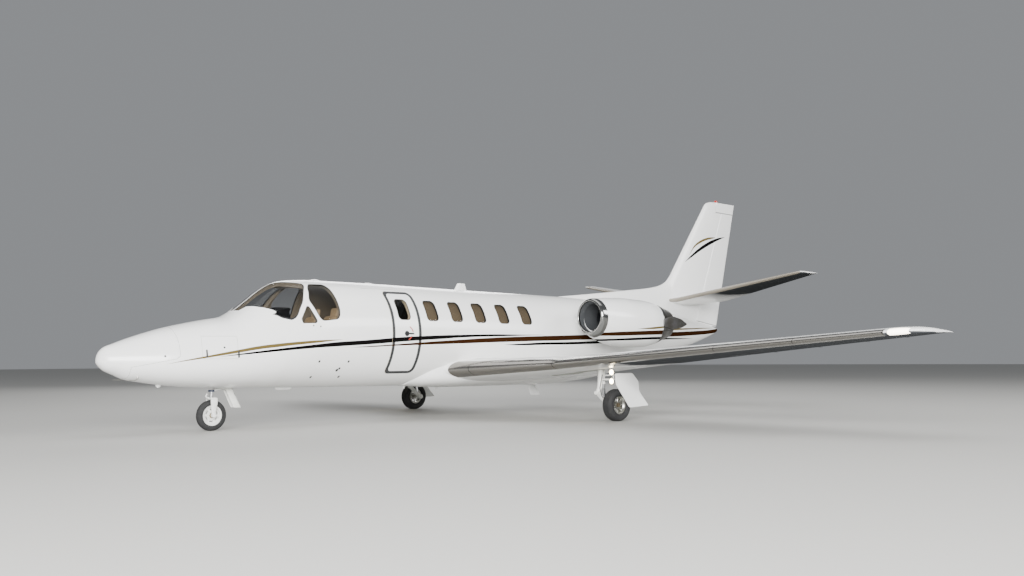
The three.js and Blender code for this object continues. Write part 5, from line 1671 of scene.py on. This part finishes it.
def tyre_profile(radius: float, width: float, rim: float, grooves: int) -> Outline:
    """Section of a tyre, with grooves round its tread.

    Args:
        radius: The tyre's radius.
        width: Its width.
        rim: The radius of the rim that it sits on.
        grooves: The number of grooves.

    Returns:
        Points of radius and distance across, in order.
    """
    half = width / 2
    wall = [(rim, -half * 0.72), (rim + 0.01, -half * 0.82), (rim + 0.022, -half * 0.87),
            (radius - 0.075, -half * 0.995), (radius - 0.05, -half), (radius - 0.03, -half * 0.93),
            (radius - 0.014, -half * 0.78), (radius - 0.004, -half * 0.56), (radius, -half * 0.44)]
    tread = []
    for k in range(grooves):
        middle = half * 0.8 * ((k + 0.5) / grooves - 0.5)
        tread += [(radius, middle - 0.005), (radius - 0.006, middle - 0.003), (radius - 0.006, middle + 0.003),
                  (radius, middle + 0.005)]
    return wall + tread + [(r, -x) for r, x in wall[::-1]]


@dataclass
class LandingGear:
    """Main legs, wheels and gear doors, and the nose leg with its steered wheel."""

    leg_out: float = 2.665
    wheel_out: float = 2.875
    station: float = 7.61
    lamp: Sizes = (2.945, 0.673, 0.822)
    radius: float = 0.270
    nose_station: float = 1.733
    nose_radius: float = 0.232

    def main_leg(self) -> list[tuple]:
        """The port leg with its pistons, brake and lamps."""
        out, axle = self.leg_out, (self.station, self.radius)
        knee = (7.375, 0.474)
        roof = foil_middle(WING, WING_CAMBER, out, 7.5)[0] - 0.008

        def bar(path: Rows, radii: Sequence[float]) -> Piece:
            """A bar in the leg's own plane."""
            return rod([(out, s, z) for s, z in path], radii)

        enamel = [
            bar([(7.465, roof - 0.018), (7.44, 0.66), (7.425, 0.56), knee], [0.050, 0.046, 0.044, 0.040]),
            bar([knee, (7.50, 0.362), axle], [0.040, 0.036, 0.044]),
            bar([(7.515, 0.62), (7.495, roof - 0.012)], 0.036),
            rod([(out - 0.048, *knee), (out + 0.048, *knee)], 0.034),
            rod([(out - 0.05, *axle), (out + 0.045, *axle)], 0.046),
            rod([(out, 7.44, 0.70), (self.lamp[0], 7.466, 0.70)], 0.016),
            rod([(self.lamp[0], 7.466, 0.66), (self.lamp[0], 7.466, 0.848)], 0.012),
        ]
        metal = [rod([(out - 0.045, *axle), (self.wheel_out + 0.052, *axle)], 0.0295)]
        lenses = []
        x, front = self.lamp[0], 7.415
        for z in self.lamp[1:]:
            metal.append(rod([(x, front + 0.002, z), (x, front + 0.02, z), (x, front + 0.055, z)],
                             [0.048, 0.046, 0.026], 40))
            lenses.append(rod([(x, front, z), (x, front + 0.004, z)], [0.043, 0.044], 40))
        hose = rod([(out + 0.05, 7.44, 0.78), (out + 0.055, 7.37, 0.56), (out + 0.05, 7.42, 0.42),
                    (out + 0.052, 7.55, 0.32)], 0.006, 10)
        piston = bar([(7.545, 0.33), (7.515, 0.64)], 0.026)
        return [
            (joined("leg", enamel), "main_leg_struts", (GEAR_ENAMEL,), "airframe", "gear_white", "main_leg"),
            (joined("axle", metal), "main_leg_axle", (SATIN,), "airframe", "steel", ""),
            (piston, "main_leg_piston", (CHROME,), "airframe", "steel", ""),
            (joined("lens", lenses), "landing_lamps", (LIT_LAMP,), "airframe", "window_glass", ""),
            (hose, "brake_hose", (RUBBER,), "airframe", "tyre_rubber", ""),
        ]

    def main_wheel(self) -> list[tuple]:
        """The port tyre and spoked wheel."""
        centre = (self.wheel_out, self.station, self.radius)
        tyre = revolve(tyre_profile(0.270, 0.21, 0.152, 4), centre, 96)
        barrel = [(0.118, -0.066), (0.1517, -0.068), (0.1517, 0.068), (0.142, 0.068), (0.132, 0.040), (0.118, 0.030)]
        hub = [(0.031, -0.034), (0.058, -0.034), (0.062, -0.015), (0.062, 0.018), (0.056, 0.034), (0.031, 0.034)]
        parts = [revolve(barrel, centre, 72), revolve(hub, centre, 48)]
        for k in range(9):
            turn = 2 * pi * k / 9
            ends = [(centre[0] + 0.006, centre[1] + r * cos(turn), centre[2] + r * sin(turn))
                    for r in (0.055, 0.09, 0.124)]
            parts.append(rod(ends, [0.014, 0.011, 0.015], 12))
        cap = rod([(centre[0] + out, *centre[1:]) for out in (0.032, 0.052, 0.058)], [0.040, 0.034, 0.012], 32)
        return [
            (tyre, "main_tyre_tread", (RUBBER,), "main_wheel_set", "tyre_rubber", "main_tyre"),
            (joined("wheel", parts), "main_wheel_spokes", (SATIN,), "main_wheel_set", "steel", "main_wheel"),
            (cap, "main_wheel_cap", (BRONZE,), "main_wheel_set", "steel", ""),
        ]

    def gear_door(self) -> tuple:
        """The port gear door with its two stays."""
        outline = softened([(7.44, 0.805), (7.85, 0.805), (8.007, 0.661), (8.023, 0.496), (8.26, 0.246),
                            (7.781, 0.228), (7.455, 0.623)], 0.03)
        parts = [bevelled(prism(outline, 3.0, 3.018), 0.004)]
        parts += [rod([(2.722, 7.50, z), (3.005, 7.58, z)], 0.012, 16) for z in (0.69, 0.77)]
        return joined("door", parts), "main_gear_door_skin", (WHITE,), "airframe", "paint_white", "main_gear_door"

    def nose_gear(self) -> None:
        """The nose leg, its steered fork, and the wheel."""
        s, r = self.nose_station, self.nose_radius
        enamel = [
            rod([(0, s, 0.640), (0, s, 0.846)], 0.040, 40),
            rod([(-0.07, 2.055, 0.668), (0.07, 2.055, 0.668)], 0.014),
            rod([(-0.06, 2.02, 0.64), (0.06, 2.02, 0.64)], 0.012),
        ]
        panel = [(1.93, 0.64), (2.036, 0.64), (2.196, 0.336), (2.075, 0.338)]
        for side in (1, -1):
            enamel.append(rod([(side * 0.035, s + 0.03, 0.612), (side * 0.045, 2.06, 0.672)], 0.014))
            enamel.append(rod([(side * 0.045, 2.02, 0.664), (side * 0.045, 2.02, 0.64)], 0.012))
            enamel.append(bevelled(prism(softened(panel, 0.02), *sorted((side * 0.04, side * 0.052))), 0.003))
        enamel.append(bevelled(prism([(2.024, 0.64), (2.038, 0.64), (2.198, 0.336), (2.184, 0.336)], -0.052, 0.052),
                               0.003))
        fit(joined("nose_leg_struts", enamel), GEAR_ENAMEL, "gear_white", "nose_leg")
        collar = rod([(0, s, 0.588), (0, s, 0.592), (0, s, 0.610), (0, s, 0.614)], [0.046, 0.049, 0.049, 0.045], 40,
                     name="nose_leg_collar")
        fit(collar, COLLAR_BLUE, "gear_white")

        body = "nose_steering_fork"
        piston = rod([(0, s, 0.478), (0, s, 0.586)], 0.026, 40, name="nose_leg_piston")
        fit(piston, CHROME, "steel", body=body)
        reach = 0.112 / 2 + 0.024
        fork = [bevelled(block((-reach - 0.014, s - 0.045, 0.471), (reach + 0.014, s + 0.045, 0.503)), 0.010, 3)]
        arm = [(-0.045, 0.5), (0.06, 0.5), (0.062, 0.43), (0.042, 0.34), (0.03, 0.26), (0.03, r - 0.026),
               (-0.03, r - 0.026), (-0.03, 0.26), (-0.034, 0.34), (-0.044, 0.43)]
        for side in (1, -1):
            outline = softened([(s + a, z) for a, z in arm], 0.02)
            fork.append(bevelled(prism(outline, *sorted((side * reach - 0.008, side * reach + 0.008))), 0.003))
        fork.append(rod([(-reach - 0.018, s, r), (reach + 0.018, s, r)], 0.0295, 32))
        fork.append(rod([(0, s - 0.04, 0.487), (0, s - 0.092, 0.52), (0, s - 0.07, 0.556)], 0.012, 12))
        fit(joined("nose_fork_arms", fork), GEAR_ENAMEL, "gear_white", "nose_fork", body=body)

        centre = (0.0, s, r)
        tyre = revolve(tyre_profile(r, 0.112, 0.154, 3), centre, 96)
        tyre.name = "nose_tyre_tread"
        fit(tyre, RUBBER, "tyre_rubber", "nose_tyre", body="nose_wheel_set")
        profile = [(0.031, -0.034), (0.058, -0.034), (0.062, -0.015), (0.120, -0.012), (0.132, -0.040),
                   (0.1537, -0.040), (0.1537, 0.040), (0.132, 0.040), (0.120, 0.012), (0.062, 0.015), (0.058, 0.034),
                   (0.031, 0.034)]
        disc = revolve(profile, centre, 96)
        holes = []
        for k in range(6):
            arc = 2 * pi * k / 6 + np.linspace(0.12, 0.82, 9)
            slot = [*ring(s, r, 0.101, arc), *ring(s, r, 0.078, arc[::-1])]
            holes.append(prism(softened(slot, 0.008, 3), -0.1, 0.1))
        for k in range(12):
            turn = 2 * pi * (k + 0.5) / 12
            y, z = s + 0.1165 * cos(turn), r + 0.1165 * sin(turn)
            holes.append(rod([(-0.1, y, z), (0.1, y, z)], 0.004, 12))
        carve(disc, Cut.AWAY, joined("holes", holes))
        disc.name = "nose_wheel_disc"
        fit(disc, GEAR_ENAMEL, "gear_white", "nose_wheel", body="nose_wheel_set")
        nuts = [rod([(side * 0.034, s, r), (side * 0.050, s, r)], [0.048, 0.042], 6) for side in (1, -1)]
        fit(joined("nose_wheel_nuts", nuts), BRONZE, "steel", body="nose_wheel_set")

    def build(self) -> None:
        """All three legs."""
        both_sides([*self.main_leg(), *self.main_wheel(), self.gear_door()])
        self.nose_gear()


def pillow(name: str, middle: Sequence[float], size: Sequence[float], lean: float, way: int) -> Piece:
    """A stuffed cushion: crowned faces, round edges and sides that pull in between its corners.

    Args:
        name: The piece's name.
        middle: Its middle.
        size: Its width, length and thickness.
        lean: How far it leans back, in degrees.
        way: 1 where the seat faces forward and -1 where it faces aft.

    Returns:
        The cushion.
    """
    rows, around = 20, 40
    up = np.linspace(-pi / 2, pi / 2, rows)[1:-1]
    turn = full_turn(around)
    rings = []
    for level in up:
        ring_size = abs(cos(level)) ** 0.35
        x = np.sign(np.cos(turn)) * np.abs(np.cos(turn)) ** 0.4 * ring_size
        y = np.sign(np.sin(turn)) * np.abs(np.sin(turn)) ** 0.4 * ring_size
        waist = 1 - 0.03 * (1 - (x * y) ** 2)
        crown = sin(level) * (0.78 + 0.22 * (1 - x ** 2) * (1 - y ** 2))
        rings.append(np.stack([x * waist * size[0] / 2, y * waist * size[1] / 2, crown * size[2] / 2], axis=1))
    piece = loft(name, np.array(rings))
    move = (Matrix.Translation((middle[0], middle[1] - HALF_LENGTH, middle[2]))
            @ Matrix.Rotation(radians(lean * way), 4, "X"))
    piece.data.transform(move @ Matrix.Translation((0, HALF_LENGTH, 0)))
    return piece


@dataclass
class Cabin:
    """Seats, floor and panel finishes, as far as they show through the glass."""

    floor: float = 0.92
    pilot: Sizes = (0.3, 3.08, 0.42)
    rows: tuple[tuple[float, int], ...] = ((5.88, -1), (6.30, 1), (7.45, 1))

    def seat(self, name: str, x: float, station: float, width: float, way: int) -> Piece:
        """One seat: a shaped base with three leather cushions on it.

        Args:
            name: The seat's name.
            x: Its middle, across the jet.
            station: Where it stands.
            width: Its width.
            way: 1 facing forward and -1 facing aft.

        Returns:
            The base.
        """
        z = self.floor + 0.0003
        foot = [(0.02, 0.0), (0.31, 0.0), (0.35, 0.27), (0.46, 0.30), (0.60, 0.80), (0.565, 0.82), (0.43, 0.33),
                (-0.02, 0.27)]
        outline = softened([(station + way * s, z + h) for s, h in foot], 0.02)
        base = bevelled(prism(outline, x - width * 0.36, x + width * 0.36), 0.008)
        for part, at, lift, size, lean in (("cushion", 0.15, 0.345, (width, 0.50, 0.15), 4),
                                           ("back", 0.51, 0.60, (width, 0.52, 0.13), 77),
                                           ("headrest", 0.63, 0.895, (width * 0.56, 0.17, 0.08), 79)):
            pad = pillow(f"{name}_{part}", (x, station + way * at, z + lift), size, lean, way)
            fit(pad, LEATHER, "leather")
        return dressed(base, TRIM)

    def build(self) -> None:
        """All seats, and the finishes of the solids that stay."""
        for name, side in SIDES:
            seat = self.seat(f"pilot_seat_{name}", side * self.pilot[0], self.pilot[1], self.pilot[2], 1)
            seat.name = f"pilot_seat_{name}_base"
            place(seat, "airframe", "leather", f"pilot_seat_{name}")
            bases = [self.seat(f"cabin_seat_{name}_{k}", side * 0.395, station, 0.43, way)
                     for k, (station, way) in enumerate(self.rows)]
            rail = block((side * 0.395 - 0.03, 5.6, self.floor + 0.0003), (side * 0.395 + 0.03, 7.7, 0.955))
            whole = joined(f"cabin_seats_{name}_base", [*bases, dressed(bevelled(rail, 0.004), SATIN)])
            place(whole, "airframe", "leather", f"cabin_seats_{name}")
        for node, finish in (("cabin_floor", CARPET), ("instrument_panel", PANEL), ("engine_port", SOOTED),
                             ("engine_starboard", SOOTED)):
            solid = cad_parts[node]
            solid.data.materials.clear()
            solid.data.materials.append(finish.material())


@dataclass
class Fittings:
    """Antennas, probes, small ports and the drip rail over the door."""

    ports: tuple[Sizes, ...] = (
        (0.799, 1.128, 0.014), (1.622, 1.251, 0.014), (3.013, 1.589, 0.012), (3.13, 1.575, 0.012),
        (3.157, 1.034, 0.018), (3.542, 0.893, 0.022), (3.575, 0.92, 0.018), (3.697, 1.029, 0.018),
        (3.128, 0.79, 0.018), (3.649, 0.785, 0.018))

    def blade(self, name: str, foot: Sizes, head: Sizes, thickness: float,
              x: float = 0.0) -> Piece:
        """A small upright foil.

        Args:
            name: The piece's name.
            foot: Leading edge, trailing edge and height at its foot.
            head: The same at its head.
            thickness: The thickness at its foot, as a share of the chord.
            x: How far out it stands.

        Returns:
            The blade.
        """
        rings = []
        for share, shrink in ((0, 1), (0.5, 1), (0.95, 1), (1.0, 0.93)):
            lead, trail, height = (a + (b - a) * share for a, b in zip(foot, head))
            middle, half_chord = (lead + trail) / 2, (trail - lead) / 2 * shrink
            stations, half = foil(middle - half_chord, middle + half_chord, thickness, around=36)
            rings.append(np.stack([x + half, stations, np.full_like(half, height)], axis=1))
        return loft(name, np.array(rings))

    def build(self) -> None:
        """All of them."""
        blades = [
            self.blade("a", (6.40, 6.71, 2.28), (6.49, 6.66, 2.43), 0.12),
            self.blade("b", (8.19, 8.37, 0.60), (8.29, 8.54, 0.35), 0.10),
            self.blade("c", (5.27, 5.31, 0.63), (5.28, 5.31, 0.545), 0.30),
            self.blade("d", (5.97, 6.03, 0.62), (5.98, 6.03, 0.527), 0.25),
            self.blade("e", (0.86, 0.94, 0.71), (0.88, 0.93, 0.672), 0.30),
        ]
        for start, end, peak in ((3.39, 3.60, 2.371), (4.435, 4.64, 2.356)):
            middle, half = (start + end) / 2, (end - start) / 2
            shares = np.linspace(0, 1, 8)
            path = [(0, middle, peak - 0.05 + 0.05 * sin(a * pi / 2)) for a in shares]
            blades.append(rod(path, [max(0.004, half * cos(a * pi / 2)) for a in shares], 40))
        fit(joined("antennas", blades), WHITE, "paint_white")
        probes = []
        for _, side in SIDES:
            base = hull_out(0.5, 0.86)
            x = side * min(0.25, base)
            probes.append(rod([(x, 0.50, 0.84), (x, 0.485, 0.80), (x, 0.45, 0.79), (x, 0.33, 0.79)],
                              [0.012, 0.009, 0.007, 0.005], 16))
        fit(joined("pitot_probes", probes), SATIN, "steel")
        dots = []
        for station, height, radius in self.ports:
            disc = ring(station, height, radius, full_turn(20))
            band = hull_band(station - 0.05, station + 0.05, 0.0012, -0.002)
            spans = [prism(disc, *sorted((side * 0.1, side * 1.0))) for _, side in SIDES]
            dots.append(carve(band, Cut.COMMON, joined("discs", spans)))
        fit(joined("static_ports", dots), DARK_STEEL, "steel")
        blister = rod([(0, s, 0.612) for s in (2.80, 2.815, 2.85, 3.05, 3.085, 3.10)],
                      [0.004, 0.020, 0.030, 0.030, 0.020, 0.004], 32, name="belly_blister")
        fit(blister, WHITE, "paint_white")
        rail = hull_band(4.0, 5.1, 0.010, -0.004)
        carve(rail, Cut.COMMON, prism([(4.1, 2.226), (5.0, 2.226), (5.0, 2.234), (4.1, 2.234)], 0.2, 0.9))
        rail.name = "door_drip_rail"
        fit(rail, WHITE, "paint_white")


@dataclass
class Studio:
    """Pale floor, soft lights and the camera."""

    eye: Sizes = (14.80, -12.76, 1.125)
    yaw: float = 48.408
    pitch: float = 3.678
    roll: float = -0.30
    lens: float = 36.42

    def camera(self) -> None:
        """The camera, at the photo's angle."""
        yaw, pitch, roll = (radians(angle) for angle in (self.yaw, self.pitch, self.roll))
        level = Vector((-sin(yaw), cos(yaw), 0))
        right = Vector((cos(yaw), sin(yaw), 0))
        ahead = level * cos(pitch) + Vector((0, 0, 1)) * sin(pitch)
        up = -level * sin(pitch) + Vector((0, 0, 1)) * cos(pitch)
        across = right * cos(roll) + up * sin(roll)
        top = -right * sin(roll) + up * cos(roll)
        data = bpy.data.cameras.new("camera")
        data.lens, data.sensor_width, data.clip_end = self.lens, 36, 400
        eye = bpy.data.objects.new("camera", data)
        turn = Matrix((across, top, -ahead)).transposed().to_4x4()
        eye.matrix_world = Matrix.Translation(self.eye) @ turn
        bpy.context.scene.collection.objects.link(eye)
        bpy.context.scene.camera = eye

    def light(self, name: str, spot: Sequence[float], size: tuple[float, float], watts: float) -> None:
        """A large soft light that faces the jet's middle."""
        data = bpy.data.lights.new(name, "AREA")
        data.shape, data.size, data.size_y, data.energy = "RECTANGLE", *size, watts
        lamp = bpy.data.objects.new(name, data)
        lamp.location = spot
        lamp.rotation_euler = (Vector((0, 0, 1.5)) - Vector(spot)).to_track_quat("-Z", "Y").to_euler()
        bpy.context.scene.collection.objects.link(lamp)

    def build(self) -> None:
        """Floor, lights, surroundings and camera."""
        floor = rod([(0, HALF_LENGTH, -0.05), (0, HALF_LENGTH, 0.0)], 90, 96)
        floor.name = "floor"
        dressed(floor, Finish("pale_floor", "#b4b3af", 0.75))
        self.light("key", (19, -18, 6.5), (18, 8), 15000)
        self.light("fill", (22, 12, 12), (14, 7), 3600)
        self.light("over", (0, 0, 17), (18, 18), 1900)
        self.light("back", (-18, 10, 10), (12, 8), 1800)
        world = bpy.data.worlds.new("surroundings")
        world.use_nodes = True
        world.node_tree.nodes["Background"].inputs[0].default_value = colour("#c3c6ca")
        world.node_tree.nodes["Background"].inputs[1].default_value = 0.5
        bpy.context.scene.world = world
        self.camera()


def main() -> None:
    """Builds every sub-assembly in order."""
    logging.basicConfig(level=logging.INFO, format="%(message)s", stream=sys.stdout)
    body = Fuselage()
    body.nose()
    Cockpit().build()
    body.cabin()
    body.entry_door()
    body.tail_and_belly()
    Wings().build()
    tail = Tail()
    tail.fin()
    tail.tailplane()
    Engines().build()
    LandingGear().build()
    Cabin().build()
    Fittings().build()
    Studio().build()


if __name__ == "__main__":
    main()
